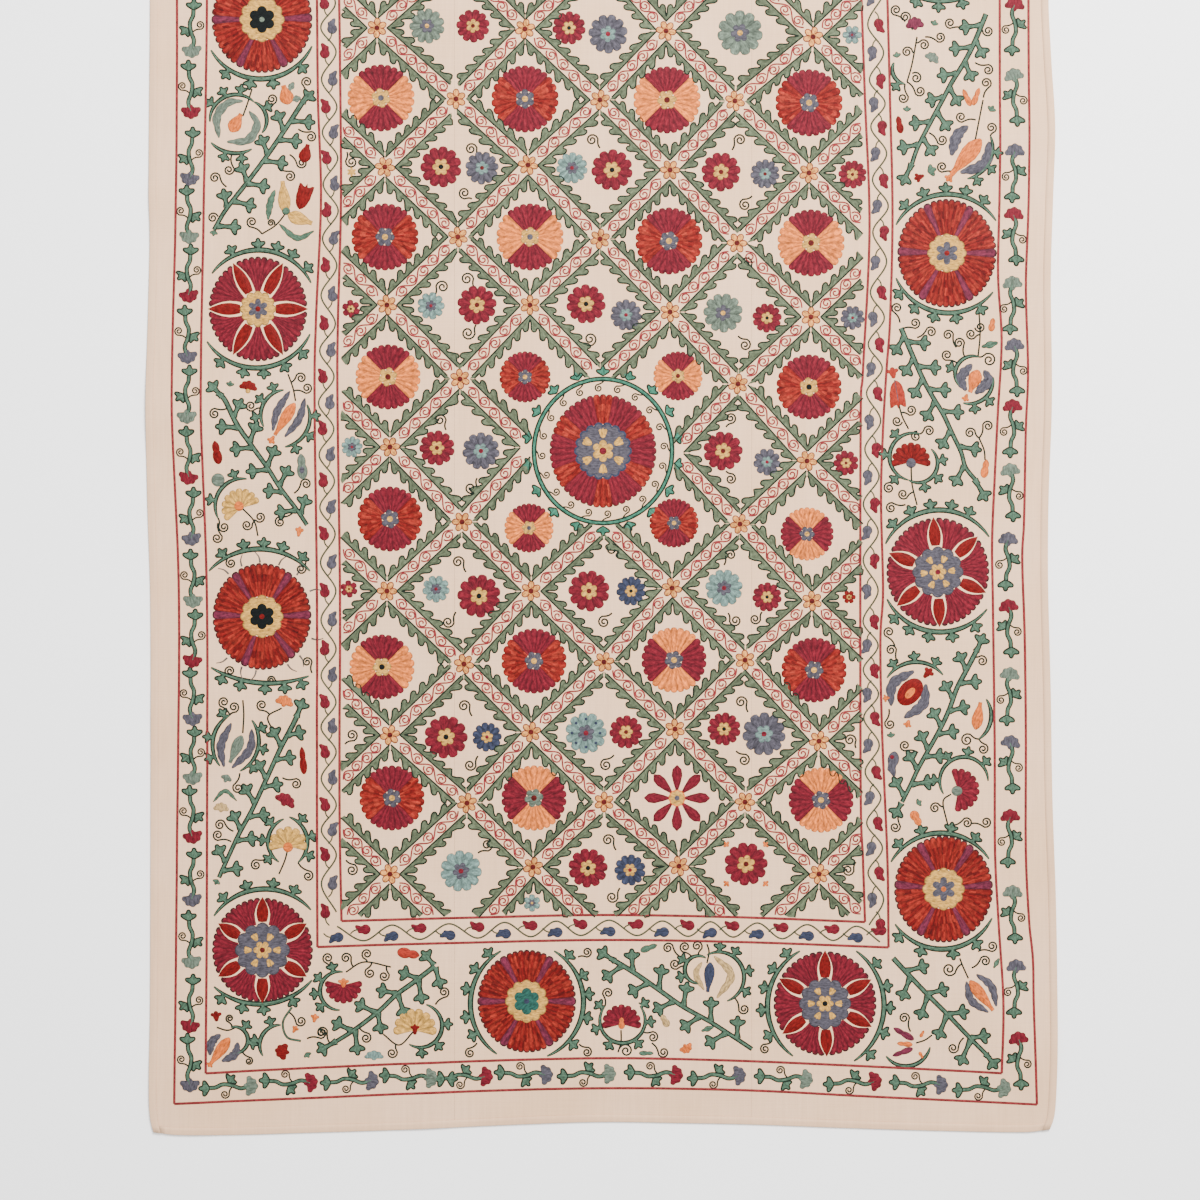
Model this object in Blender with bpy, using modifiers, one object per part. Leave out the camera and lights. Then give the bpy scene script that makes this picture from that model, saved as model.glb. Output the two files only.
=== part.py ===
"""Large embroidered hanging, laid out flat: three loom widths of cloth edged with four folded strips.

Metres, +Z up. The cloth lies face up on the surface z = 0, with its length along Y and its
middle over the origin. The three panels meet at two long seams. A folded strip grips the
raw edge all round: the two side strips run the whole length, and the end strips stop at them.
"""

import math
from collections import namedtuple

import bmesh
import bpy
from mathutils import Vector

# Overall size of the cloth, edge to edge along its straight cut.
CLOTH_WIDTH = 1.600
CLOTH_LENGTH = 2.400
CLOTH_THICKNESS = 0.0015

# Where the loom widths are joined, and the slit left between two of them.
LEFT_SEAM_X = -0.2605
RIGHT_SEAM_X = 0.2655
GAP = 0.0003

# The folded edge strip: its visible width, its cloth, and the slot that takes the panel's edge.
STRIP_WIDTH = 0.0135
STRIP_THICKNESS = 0.0006
STRIP_SLOT = 0.0021
STRIP_HEIGHT = STRIP_SLOT + 2 * STRIP_THICKNESS
FOLD_SEGMENTS = 3
EDGE_INSET = 0.0018

# Inside the strip the panel rides over the strip's lower leaf, then eases down to the surface.
SLOT_LIFT = STRIP_THICKNESS + GAP
LIFT_END = STRIP_WIDTH + 0.0015
LIFT_EASE = 0.036

# Spacing of the mesh stations along and across the cloth.
STATION_LENGTH = 0.058
STATION_WIDTH = 0.056

# How far an edge stands outside its straight cut, at places along it.
EdgeRow = namedtuple("EdgeRow", "along out")

LEFT_EDGE = (
    EdgeRow(along=-1.200, out=-0.0065),
    EdgeRow(along=-1.178, out=-0.0010),
    EdgeRow(along=-1.130, out=0.0015),
    EdgeRow(along=-0.968, out=-0.0005),
    EdgeRow(along=-0.614, out=-0.0015),
    EdgeRow(along=-0.260, out=-0.0010),
    EdgeRow(along=-0.083, out=0.0044),
    EdgeRow(along=0.094, out=0.0070),
    EdgeRow(along=0.271, out=0.0025),
    EdgeRow(along=0.395, out=0.0000),
    EdgeRow(along=0.4655, out=0.0020),
    EdgeRow(along=0.802, out=-0.0005),
    EdgeRow(along=1.050, out=0.0010),
    EdgeRow(along=1.180, out=-0.0005),
    EdgeRow(along=1.200, out=-0.0050),
)

RIGHT_EDGE = (
    EdgeRow(along=-1.200, out=-0.0070),
    EdgeRow(along=-1.180, out=0.0005),
    EdgeRow(along=-1.145, out=0.0040),
    EdgeRow(along=-1.057, out=0.0068),
    EdgeRow(along=-0.968, out=0.0068),
    EdgeRow(along=-0.791, out=0.0040),
    EdgeRow(along=-0.614, out=-0.0020),
    EdgeRow(along=-0.437, out=-0.0050),
    EdgeRow(along=-0.225, out=-0.0100),
    EdgeRow(along=-0.083, out=-0.0090),
    EdgeRow(along=0.094, out=-0.0030),
    EdgeRow(along=0.324, out=-0.0050),
    EdgeRow(along=0.448, out=-0.0010),
    EdgeRow(along=0.572, out=0.0023),
    EdgeRow(along=0.713, out=-0.0050),
    EdgeRow(along=0.802, out=-0.0090),
    EdgeRow(along=0.960, out=-0.0060),
    EdgeRow(along=1.120, out=-0.0010),
    EdgeRow(along=1.180, out=-0.0015),
    EdgeRow(along=1.200, out=-0.0060),
)

BOTTOM_EDGE = (
    EdgeRow(along=-0.800, out=0.0020),
    EdgeRow(along=-0.760, out=0.0068),
    EdgeRow(along=-0.658, out=0.0070),
    EdgeRow(along=-0.534, out=0.0035),
    EdgeRow(along=-0.357, out=-0.0020),
    EdgeRow(along=-0.145, out=-0.0115),
    EdgeRow(along=0.000, out=-0.0160),
    EdgeRow(along=0.140, out=-0.0140),
    EdgeRow(along=0.2625, out=-0.0115),
    EdgeRow(along=0.440, out=-0.0050),
    EdgeRow(along=0.6165, out=0.0000),
    EdgeRow(along=0.758, out=0.0020),
    EdgeRow(along=0.800, out=-0.0030),
)

TOP_EDGE = (
    EdgeRow(along=-0.800, out=0.0000),
    EdgeRow(along=-0.740, out=0.0045),
    EdgeRow(along=-0.420, out=0.0000),
    EdgeRow(along=-0.120, out=-0.0090),
    EdgeRow(along=0.120, out=-0.0095),
    EdgeRow(along=0.420, out=-0.0010),
    EdgeRow(along=0.700, out=0.0068),
    EdgeRow(along=0.760, out=0.0050),
    EdgeRow(along=0.800, out=-0.0010),
)

# Soft folds left in the cloth as it lies. Each is one smooth bump: its middle, the compass
# heading of its ridge in degrees from +X, its half length, its half width and its height.
Fold = namedtuple("Fold", "x y heading half_length half_width height")

FOLDS = (
    Fold(x=0.720, y=0.560, heading=24, half_length=0.260, half_width=0.090, height=0.0050),
    Fold(x=0.700, y=0.350, heading=8, half_length=0.220, half_width=0.085, height=0.0035),
    Fold(x=-0.700, y=0.060, heading=-14, half_length=0.280, half_width=0.100, height=0.0050),
    Fold(x=-0.690, y=0.450, heading=12, half_length=0.210, half_width=0.080, height=0.0030),
    Fold(x=-0.560, y=-0.470, heading=2, half_length=0.330, half_width=0.085, height=0.0035),
    Fold(x=0.745, y=-0.250, heading=94, half_length=0.340, half_width=0.085, height=0.0030),
    Fold(x=0.700, y=-1.010, heading=128, half_length=0.300, half_width=0.110, height=0.0050),
    Fold(x=-0.700, y=-1.060, heading=58, half_length=0.240, half_width=0.100, height=0.0040),
    Fold(x=-0.300, y=-1.080, heading=84, half_length=0.190, half_width=0.075, height=0.0030),
    Fold(x=0.060, y=-1.110, heading=4, half_length=0.360, half_width=0.085, height=0.0035),
    Fold(x=-0.310, y=0.310, heading=76, half_length=0.300, half_width=0.085, height=0.0030),
    Fold(x=0.330, y=0.700, heading=97, half_length=0.330, half_width=0.085, height=0.0030),
    Fold(x=0.640, y=1.020, heading=-38, half_length=0.270, half_width=0.110, height=0.0045),
    Fold(x=-0.600, y=1.050, heading=33, half_length=0.280, half_width=0.110, height=0.0040),
)

PANEL_COLOUR = (0.76, 0.66, 0.56)
STRIP_COLOUR = (0.80, 0.71, 0.60)
CLOTH_ROUGHNESS = 0.9


def clear_scene():
    """Remove whatever the file opened with."""
    for old in list(bpy.data.objects):
        bpy.data.objects.remove(old, do_unlink=True)


def make_collection(name):
    """A collection for the parts."""
    collection = bpy.data.collections.new(name)
    bpy.context.scene.collection.children.link(collection)
    return collection


def make_material(name, colour, roughness):
    """A plain cloth material."""
    material = bpy.data.materials.new(name)
    material.use_nodes = True
    shader = material.node_tree.nodes["Principled BSDF"]
    shader.inputs["Base Color"].default_value = (*colour, 1.0)
    shader.inputs["Roughness"].default_value = roughness
    shader.inputs["Metallic"].default_value = 0.0
    return material


def slope_at(rows, index):
    """Slope of the edge curve at a row, from the rows on either side."""
    low = rows[max(index - 1, 0)]
    high = rows[min(index + 1, len(rows) - 1)]
    return (high.out - low.out) / (high.along - low.along)


def edge_out(rows, along):
    """How far the edge stands out at a place along it, on a smooth curve through the rows."""
    if along <= rows[0].along:
        return rows[0].out
    if along >= rows[-1].along:
        return rows[-1].out
    index = max(i for i, row in enumerate(rows[:-1]) if row.along <= along)
    low, high = rows[index], rows[index + 1]
    span = high.along - low.along
    t = (along - low.along) / span
    rise = t * t * (3 - 2 * t)
    curve = low.out + (high.out - low.out) * rise
    curve += slope_at(rows, index) * span * t * (1 - t) ** 2
    curve -= slope_at(rows, index + 1) * span * t * t * (1 - t)
    return curve


def ease(value):
    """Smooth step from 0 to 1."""
    value = min(max(value, 0.0), 1.0)
    return value * value * (3 - 2 * value)


def fold_height(fold, x, y):
    """Height of one soft fold, exactly zero outside its half length and half width."""
    heading = math.radians(fold.heading)
    dx, dy = x - fold.x, y - fold.y
    along = (dx * math.cos(heading) + dy * math.sin(heading)) / fold.half_length
    across = (dy * math.cos(heading) - dx * math.sin(heading)) / fold.half_width
    if abs(along) >= 1 or abs(across) >= 1:
        return 0.0
    return fold.height * math.cos(along * math.pi / 2) ** 2 * math.cos(across * math.pi / 2) ** 2


def lie_height(u, v):
    """Height of the cloth's folds. Across an edge strip it keeps the height at the strip's inner side."""
    reach_u = CLOTH_WIDTH / 2 - STRIP_WIDTH
    reach_v = CLOTH_LENGTH / 2 - STRIP_WIDTH
    u = min(max(u, -reach_u), reach_u)
    v = min(max(v, -reach_v), reach_v)
    return sum(fold_height(fold, u, v) for fold in FOLDS)


def slot_lift(u, v):
    """How high the panel rides over the lower leaf of the nearest edge strip."""
    from_edge = min(CLOTH_WIDTH / 2 - abs(u), CLOTH_LENGTH / 2 - abs(v))
    return SLOT_LIFT * (1 - ease((from_edge - LIFT_END) / LIFT_EASE))


def place(u, v):
    """Plan position of a point whose place u, v is given on the straight cut cloth."""
    side = edge_out(LEFT_EDGE if u < 0 else RIGHT_EDGE, v)
    end = edge_out(BOTTOM_EDGE if v < 0 else TOP_EDGE, u)
    still_u, still_v = RIGHT_SEAM_X, CLOTH_LENGTH / 4
    pull_u = ease((abs(u) - still_u) / (CLOTH_WIDTH / 2 - LIFT_END - still_u))
    pull_v = ease((abs(v) - still_v) / (CLOTH_LENGTH / 2 - LIFT_END - still_v))
    outward_u = -1 if u < 0 else 1
    outward_v = -1 if v < 0 else 1
    return u + outward_u * side * pull_u, v + outward_v * end * pull_v


def spaced(start, end, pitch):
    """Even places from start to end, about a pitch apart."""
    count = max(1, round((end - start) / pitch))
    return [start + (end - start) * step / count for step in range(count + 1)]


def stations_in_strip():
    """Distances in from a panel's bound edge: inside the strip, at its rim and on the ease down."""
    return [EDGE_INSET, LIFT_END / 2, LIFT_END, LIFT_END + LIFT_EASE / 2, LIFT_END + LIFT_EASE]


def panel_rows():
    """Places along the cloth, closer together at both ends."""
    half = CLOTH_LENGTH / 2
    near = stations_in_strip()
    middle = spaced(-half + near[-1], half - near[-1], STATION_LENGTH)
    low = [-half + inset for inset in near[:-1]]
    return low + middle + [-row for row in reversed(low)]


def panel_columns(low, high):
    """Places across one panel, closer together beside a bound edge. None stands for that edge."""
    half = CLOTH_WIDTH / 2
    near = stations_in_strip()
    start = -half + near[-1] if low is None else low + GAP / 2
    end = half - near[-1] if high is None else high - GAP / 2
    columns = spaced(start, end, STATION_WIDTH)
    if low is None:
        columns = [-half + inset for inset in near[:-1]] + columns
    if high is None:
        columns = columns + [half - inset for inset in reversed(near[:-1])]
    return columns


def grid_sheet(columns, rows):
    """A flat sheet of quads whose points stand at the given columns and rows."""
    mesh = bmesh.new()
    bmesh.ops.create_grid(mesh, x_segments=len(columns) - 1, y_segments=len(rows) - 1, size=1.0)
    for vertex in mesh.verts:
        column = round((vertex.co.x + 1) / 2 * (len(columns) - 1))
        row = round((vertex.co.y + 1) / 2 * (len(rows) - 1))
        vertex.co = Vector((columns[column], rows[row], 0.0))
    return mesh


def close_sheet(mesh, thickness):
    """Give an open sheet its thickness, straight up."""
    made = bmesh.ops.extrude_face_region(mesh, geom=list(mesh.faces))
    for vertex in (item for item in made["geom"] if isinstance(item, bmesh.types.BMVert)):
        vertex.co.z += thickness
    bmesh.ops.recalc_face_normals(mesh, faces=mesh.faces)


def add_object(collection, name, mesh, material):
    """Store a bmesh as a named object with its own material."""
    data = bpy.data.meshes.new(name)
    mesh.to_mesh(data)
    mesh.free()
    data.materials.append(material)
    thing = bpy.data.objects.new(name, data)
    collection.objects.link(thing)
    return thing


def make_panel(collection, name, low, high):
    """One loom width: a thin sheet that follows the outline, the folds and the edge strips."""
    mesh = grid_sheet(panel_columns(low, high), panel_rows())
    close_sheet(mesh, CLOTH_THICKNESS)
    for vertex in mesh.verts:
        u, v, height = vertex.co
        x, y = place(u, v)
        vertex.co = Vector((x, y, height + lie_height(u, v) + slot_lift(u, v)))
    material = make_material(name, PANEL_COLOUR, CLOTH_ROUGHNESS)
    add_object(collection, name, mesh, material)


def strip_section():
    """Half-thickness line of the folded strip: inset from the outer edge, and height."""
    radius = (STRIP_HEIGHT - STRIP_THICKNESS) / 2
    middle = STRIP_HEIGHT / 2
    centre = STRIP_THICKNESS / 2 + radius
    section = [(STRIP_WIDTH, middle - radius)]
    for step in range(FOLD_SEGMENTS + 1):
        angle = math.pi * (step / FOLD_SEGMENTS - 0.5)
        section.append((centre - radius * math.cos(angle), middle + radius * math.sin(angle)))
    section.append((STRIP_WIDTH, middle + radius))
    return section


def make_strip(collection, name, stations, cut_place):
    """A folded strip: its section follows the edge, a row of points at each station."""
    section = strip_section()
    mesh = grid_sheet(range(len(stations)), range(len(section)))
    for vertex in mesh.verts:
        inset, height = section[round(vertex.co.y)]
        u, v = cut_place(stations[round(vertex.co.x)], inset)
        x, y = place(u, v)
        vertex.co = Vector((x, y, height + lie_height(u, v)))
    thing = add_object(collection, name, mesh, make_material(name, STRIP_COLOUR, CLOTH_ROUGHNESS))
    solidify = thing.modifiers.new("cloth thickness", "SOLIDIFY")
    solidify.thickness = STRIP_THICKNESS
    solidify.offset = 0.0
    solidify.use_even_offset = True


def make_side_strip(collection, name, side):
    """A strip up one long side, its ends cut along the top and bottom edges."""
    half = CLOTH_LENGTH / 2
    stations = [-half] + panel_rows()[1:-1] + [half]
    make_strip(collection, name, stations, lambda v, inset: (side * (CLOTH_WIDTH / 2 - inset), v))


def make_end_strip(collection, name, side):
    """A strip along one end, stopping a hair short of the side strips."""
    reach = CLOTH_WIDTH / 2 - STRIP_WIDTH - GAP
    columns = panel_columns(None, LEFT_SEAM_X)[2:]
    columns += panel_columns(LEFT_SEAM_X, RIGHT_SEAM_X)[1:]
    columns += panel_columns(RIGHT_SEAM_X, None)[1:-2]
    stations = [-reach] + columns + [reach]
    make_strip(collection, name, stations, lambda u, inset: (u, side * (CLOTH_LENGTH / 2 - inset)))


def main():
    """Build the seven pieces."""
    clear_scene()
    parts = make_collection("suzani")
    make_panel(parts, "panel_left", None, LEFT_SEAM_X)
    make_panel(parts, "panel_middle", LEFT_SEAM_X, RIGHT_SEAM_X)
    make_panel(parts, "panel_right", RIGHT_SEAM_X, None)
    make_side_strip(parts, "binding_left", -1)
    make_side_strip(parts, "binding_right", 1)
    make_end_strip(parts, "binding_top", 1)
    make_end_strip(parts, "binding_bottom", -1)


main()
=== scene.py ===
"""Looks of a large embroidered hanging laid out flat: woven ground, folded edge strips and silk.

Metres, +Z up, in the same frame as the solids. The layout of the embroidery is given in pixels
of the picture, x to the right and y down, one pixel being PIXEL metres of cloth. Heights of
stitching over the cloth are in millimetres. The far end, which the picture cuts off, repeats
the near end turned half a turn about the middle of the cloth.
"""

import math
from collections import namedtuple

import bmesh
import bpy
import numpy as np
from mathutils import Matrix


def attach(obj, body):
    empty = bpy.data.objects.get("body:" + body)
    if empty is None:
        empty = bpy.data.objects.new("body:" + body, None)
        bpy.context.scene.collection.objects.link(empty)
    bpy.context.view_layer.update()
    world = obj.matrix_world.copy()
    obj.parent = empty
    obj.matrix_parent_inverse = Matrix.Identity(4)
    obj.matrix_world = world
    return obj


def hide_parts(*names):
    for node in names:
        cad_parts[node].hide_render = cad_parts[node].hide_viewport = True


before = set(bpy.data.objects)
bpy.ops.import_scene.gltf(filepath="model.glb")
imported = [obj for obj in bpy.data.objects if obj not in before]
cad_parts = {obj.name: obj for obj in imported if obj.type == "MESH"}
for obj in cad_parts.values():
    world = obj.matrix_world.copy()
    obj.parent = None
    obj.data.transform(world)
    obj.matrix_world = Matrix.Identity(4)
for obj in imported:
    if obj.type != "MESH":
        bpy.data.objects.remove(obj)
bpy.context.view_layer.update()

# The solids' own dimensions, repeated here in metres.
CLOTH_WIDTH = 1.600
CLOTH_LENGTH = 2.400
CLOTH_THICKNESS = 0.0015
LEFT_SEAM_X = -0.2605
RIGHT_SEAM_X = 0.2655
GAP = 0.0003
STRIP_WIDTH = 0.0135
STRIP_THICKNESS = 0.0006
STRIP_HEIGHT = 0.0033
EDGE_INSET = 0.0018
SLOT_LIFT = 0.0009
LIFT_END = 0.015
LIFT_EASE = 0.036

EdgeRow = namedtuple("EdgeRow", "along out")

LEFT_EDGE = (
    EdgeRow(-1.200, -0.0065),
    EdgeRow(-1.178, -0.0010),
    EdgeRow(-1.130, 0.0015),
    EdgeRow(-0.968, -0.0005),
    EdgeRow(-0.614, -0.0015),
    EdgeRow(-0.260, -0.0010),
    EdgeRow(-0.083, 0.0044),
    EdgeRow(0.094, 0.0070),
    EdgeRow(0.271, 0.0025),
    EdgeRow(0.395, 0.0000),
    EdgeRow(0.4655, 0.0020),
    EdgeRow(0.802, -0.0005),
    EdgeRow(1.050, 0.0010),
    EdgeRow(1.180, -0.0005),
    EdgeRow(1.200, -0.0050),
)

RIGHT_EDGE = (
    EdgeRow(-1.200, -0.0070),
    EdgeRow(-1.180, 0.0005),
    EdgeRow(-1.145, 0.0040),
    EdgeRow(-1.057, 0.0068),
    EdgeRow(-0.968, 0.0068),
    EdgeRow(-0.791, 0.0040),
    EdgeRow(-0.614, -0.0020),
    EdgeRow(-0.437, -0.0050),
    EdgeRow(-0.225, -0.0100),
    EdgeRow(-0.083, -0.0090),
    EdgeRow(0.094, -0.0030),
    EdgeRow(0.324, -0.0050),
    EdgeRow(0.448, -0.0010),
    EdgeRow(0.572, 0.0023),
    EdgeRow(0.713, -0.0050),
    EdgeRow(0.802, -0.0090),
    EdgeRow(0.960, -0.0060),
    EdgeRow(1.120, -0.0010),
    EdgeRow(1.180, -0.0015),
    EdgeRow(1.200, -0.0060),
)

BOTTOM_EDGE = (
    EdgeRow(-0.800, 0.0020),
    EdgeRow(-0.760, 0.0068),
    EdgeRow(-0.658, 0.0070),
    EdgeRow(-0.534, 0.0035),
    EdgeRow(-0.357, -0.0020),
    EdgeRow(-0.145, -0.0115),
    EdgeRow(0.000, -0.0160),
    EdgeRow(0.140, -0.0140),
    EdgeRow(0.2625, -0.0115),
    EdgeRow(0.440, -0.0050),
    EdgeRow(0.6165, 0.0000),
    EdgeRow(0.758, 0.0020),
    EdgeRow(0.800, -0.0030),
)

TOP_EDGE = (
    EdgeRow(-0.800, 0.0000),
    EdgeRow(-0.740, 0.0045),
    EdgeRow(-0.420, 0.0000),
    EdgeRow(-0.120, -0.0090),
    EdgeRow(0.120, -0.0095),
    EdgeRow(0.420, -0.0010),
    EdgeRow(0.700, 0.0068),
    EdgeRow(0.760, 0.0050),
    EdgeRow(0.800, -0.0010),
)

Fold = namedtuple("Fold", "x y heading half_length half_width height")

FOLDS = (
    Fold(0.720, 0.560, 24, 0.260, 0.090, 0.0050),
    Fold(0.700, 0.350, 8, 0.220, 0.085, 0.0035),
    Fold(-0.700, 0.060, -14, 0.280, 0.100, 0.0050),
    Fold(-0.690, 0.450, 12, 0.210, 0.080, 0.0030),
    Fold(-0.560, -0.470, 2, 0.330, 0.085, 0.0035),
    Fold(0.745, -0.250, 94, 0.340, 0.085, 0.0030),
    Fold(0.700, -1.010, 128, 0.300, 0.110, 0.0050),
    Fold(-0.700, -1.060, 58, 0.240, 0.100, 0.0040),
    Fold(-0.300, -1.080, 84, 0.190, 0.075, 0.0030),
    Fold(0.060, -1.110, 4, 0.360, 0.085, 0.0035),
    Fold(-0.310, 0.310, 76, 0.300, 0.085, 0.0030),
    Fold(0.330, 0.700, 97, 0.330, 0.085, 0.0030),
    Fold(0.640, 1.020, -38, 0.270, 0.110, 0.0045),
    Fold(-0.600, 1.050, 33, 0.280, 0.110, 0.0040),
)

# Small puckers that the stitching pulls into the cloth: wavelength in metres, heading and phase.
Pucker = namedtuple("Pucker", "wavelength heading phase")

PUCKERS = (
    Pucker(0.110, 12, 0.4),
    Pucker(0.083, 71, 2.1),
    Pucker(0.141, 103, 4.4),
    Pucker(0.097, 148, 1.2),
)
PUCKER_HEIGHT = 0.00035

# From pixels of the picture to metres on the cloth, and the half turn for the far end.
PIXEL = 0.00177
PIXEL_MM = 1000 * PIXEL
MIDDLE_X = 601.7
MIDDLE_Y = 453.0
TURN_X = 2 * MIDDLE_X
TURN_Y = 2 * MIDDLE_Y

# Silk and cotton colours, as sRGB numbers from 0 to 255.
CRIMSON = (88, 17, 28)
RED = (90, 12, 10)
ORANGE_RED = (128, 38, 26)
DEEP_RED = (80, 9, 9)
WARM_RED = (118, 32, 22)
PURPLE = (80, 26, 42)
ORANGE = (172, 84, 34)
PEACH = (186, 98, 42)
YELLOW = (166, 124, 58)
SAGE = (78, 88, 76)
TURQUOISE = (86, 106, 100)
BLUE = (62, 59, 66)
NAVY = (40, 44, 60)
TEAL = (30, 66, 58)
LEAF = (58, 80, 64)
FIELD_LEAF = (72, 80, 60)
OLIVE = (54, 58, 42)
DARK = (16, 26, 18)
SCALLOP = (44, 22, 24)
RED_LINE = (104, 34, 36)
SCROLL = (110, 34, 38)
BROWN_RED = (70, 16, 14)
BEIGE = (150, 122, 80)
BLACK = (8, 12, 12)
GREY = (74, 68, 64)
CLOTH = (218, 178, 143)
CLOTH_WARM = (213, 172, 134)
STRIP = (212, 173, 138)
STRIP_WARM = (206, 166, 131)

# Height of the stitching in millimetres. Its foot is just inside the cloth, and the shapes that lie
# on other stitching start at the top of it.
FOOT = -0.12
LINE_HEIGHT = 0.45
FILL_HEIGHT = 0.60
NECK_HEIGHT = 0.66
PETAL_TOP = 0.58
KNOT_TOP = 0.68
RING_TOP = 0.80
HEART_TOP = 1.00

chance = np.random.default_rng(11)


def edge_out(rows, along):
    """How far the edge stands out at places along it, on a smooth curve through the rows."""
    places = np.array([row.along for row in rows])
    outs = np.array([row.out for row in rows])
    order = np.arange(len(rows))
    low = np.maximum(order - 1, 0)
    high = np.minimum(order + 1, len(rows) - 1)
    slopes = (outs[high] - outs[low]) / (places[high] - places[low])
    index = np.clip(np.searchsorted(places, along, side="right") - 1, 0, len(rows) - 2)
    span = places[index + 1] - places[index]
    t = np.clip((along - places[index]) / span, 0, 1)
    curve = outs[index] + (outs[index + 1] - outs[index]) * t * t * (3 - 2 * t)
    curve = curve + slopes[index] * span * t * (1 - t) ** 2
    return curve - slopes[index + 1] * span * t * t * (1 - t)


def ease(value):
    """Smooth step from 0 to 1."""
    value = np.clip(value, 0, 1)
    return value * value * (3 - 2 * value)


def place(u, v):
    """Plan position of points whose places u, v are given on the straight cut cloth."""
    side = np.where(u < 0, edge_out(LEFT_EDGE, v), edge_out(RIGHT_EDGE, v))
    end = np.where(v < 0, edge_out(BOTTOM_EDGE, u), edge_out(TOP_EDGE, u))
    still_u, still_v = RIGHT_SEAM_X, CLOTH_LENGTH / 4
    pull_u = ease((abs(u) - still_u) / (CLOTH_WIDTH / 2 - LIFT_END - still_u))
    pull_v = ease((abs(v) - still_v) / (CLOTH_LENGTH / 2 - LIFT_END - still_v))
    return u + np.where(u < 0, -1, 1) * side * pull_u, v + np.where(v < 0, -1, 1) * end * pull_v


def unplace(x, y):
    """The places on the straight cut cloth of points given in plan."""
    u, v = x, y
    for _ in range(2):
        moved_x, moved_y = place(u, v)
        u, v = u + x - moved_x, v + y - moved_y
    return u, v


def fold_height(fold, x, y):
    """Height of one soft fold, exactly zero outside its half length and half width."""
    heading = math.radians(fold.heading)
    dx, dy = x - fold.x, y - fold.y
    along = (dx * math.cos(heading) + dy * math.sin(heading)) / fold.half_length
    across = (dy * math.cos(heading) - dx * math.sin(heading)) / fold.half_width
    bump = np.cos(along * math.pi / 2) ** 2 * np.cos(across * math.pi / 2) ** 2
    return np.where((abs(along) < 1) & (abs(across) < 1), fold.height * bump, 0.0)


def lie_height(u, v):
    """Height of the cloth's folds, held level across an edge strip."""
    reach_u = CLOTH_WIDTH / 2 - STRIP_WIDTH
    reach_v = CLOTH_LENGTH / 2 - STRIP_WIDTH
    u = np.clip(u, -reach_u, reach_u)
    v = np.clip(v, -reach_v, reach_v)
    return sum(fold_height(fold, u, v) for fold in FOLDS)


def from_edge(u, v):
    """Distance in from the nearest edge of the cloth."""
    return np.minimum(CLOTH_WIDTH / 2 - abs(u), CLOTH_LENGTH / 2 - abs(v))


def pucker_height(u, v):
    """Small uneven puckers, none of them at the edge strips."""
    total = 0.0
    for pucker in PUCKERS:
        heading = math.radians(pucker.heading)
        along = u * math.cos(heading) + v * math.sin(heading)
        total = total + 0.5 + 0.5 * np.sin(2 * math.pi * along / pucker.wavelength + pucker.phase)
    return PUCKER_HEIGHT * total / 2 * ease((from_edge(u, v) - LIFT_END) / LIFT_EASE)


def under_height(u, v):
    """Height of the cloth's underside."""
    lift = SLOT_LIFT * (1 - ease((from_edge(u, v) - LIFT_END) / LIFT_EASE))
    return lie_height(u, v) + lift + pucker_height(u, v)


def darker(colour, share=0.8):
    """A colour made darker, for the edge of a shape."""
    return np.array(colour) * share


def linear(colour):
    """An sRGB colour as linear light."""
    value = np.asarray(colour, float) / 255
    return np.where(value <= 0.04045, value / 12.92, ((value + 0.055) / 1.055) ** 2.4)


def make_mesh(name, points, quads, smooth=True):
    """A mesh object from arrays of points and quads, all of them facing as they are wound."""
    mesh = bpy.data.meshes.new(name)
    mesh.vertices.add(len(points))
    mesh.vertices.foreach_set("co", points.astype(np.float32).ravel())
    mesh.loops.add(quads.size)
    mesh.loops.foreach_set("vertex_index", quads.astype(np.int32).ravel())
    mesh.polygons.add(len(quads))
    mesh.polygons.foreach_set("loop_start", np.arange(0, quads.size, 4, dtype=np.int32))
    mesh.polygons.foreach_set("loop_total", np.full(len(quads), 4, dtype=np.int32))
    mesh.polygons.foreach_set("use_smooth", np.full(len(quads), smooth))
    mesh.update(calc_edges=True)
    thing = bpy.data.objects.new(name, mesh)
    bpy.context.scene.collection.objects.link(thing)
    return thing


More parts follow.
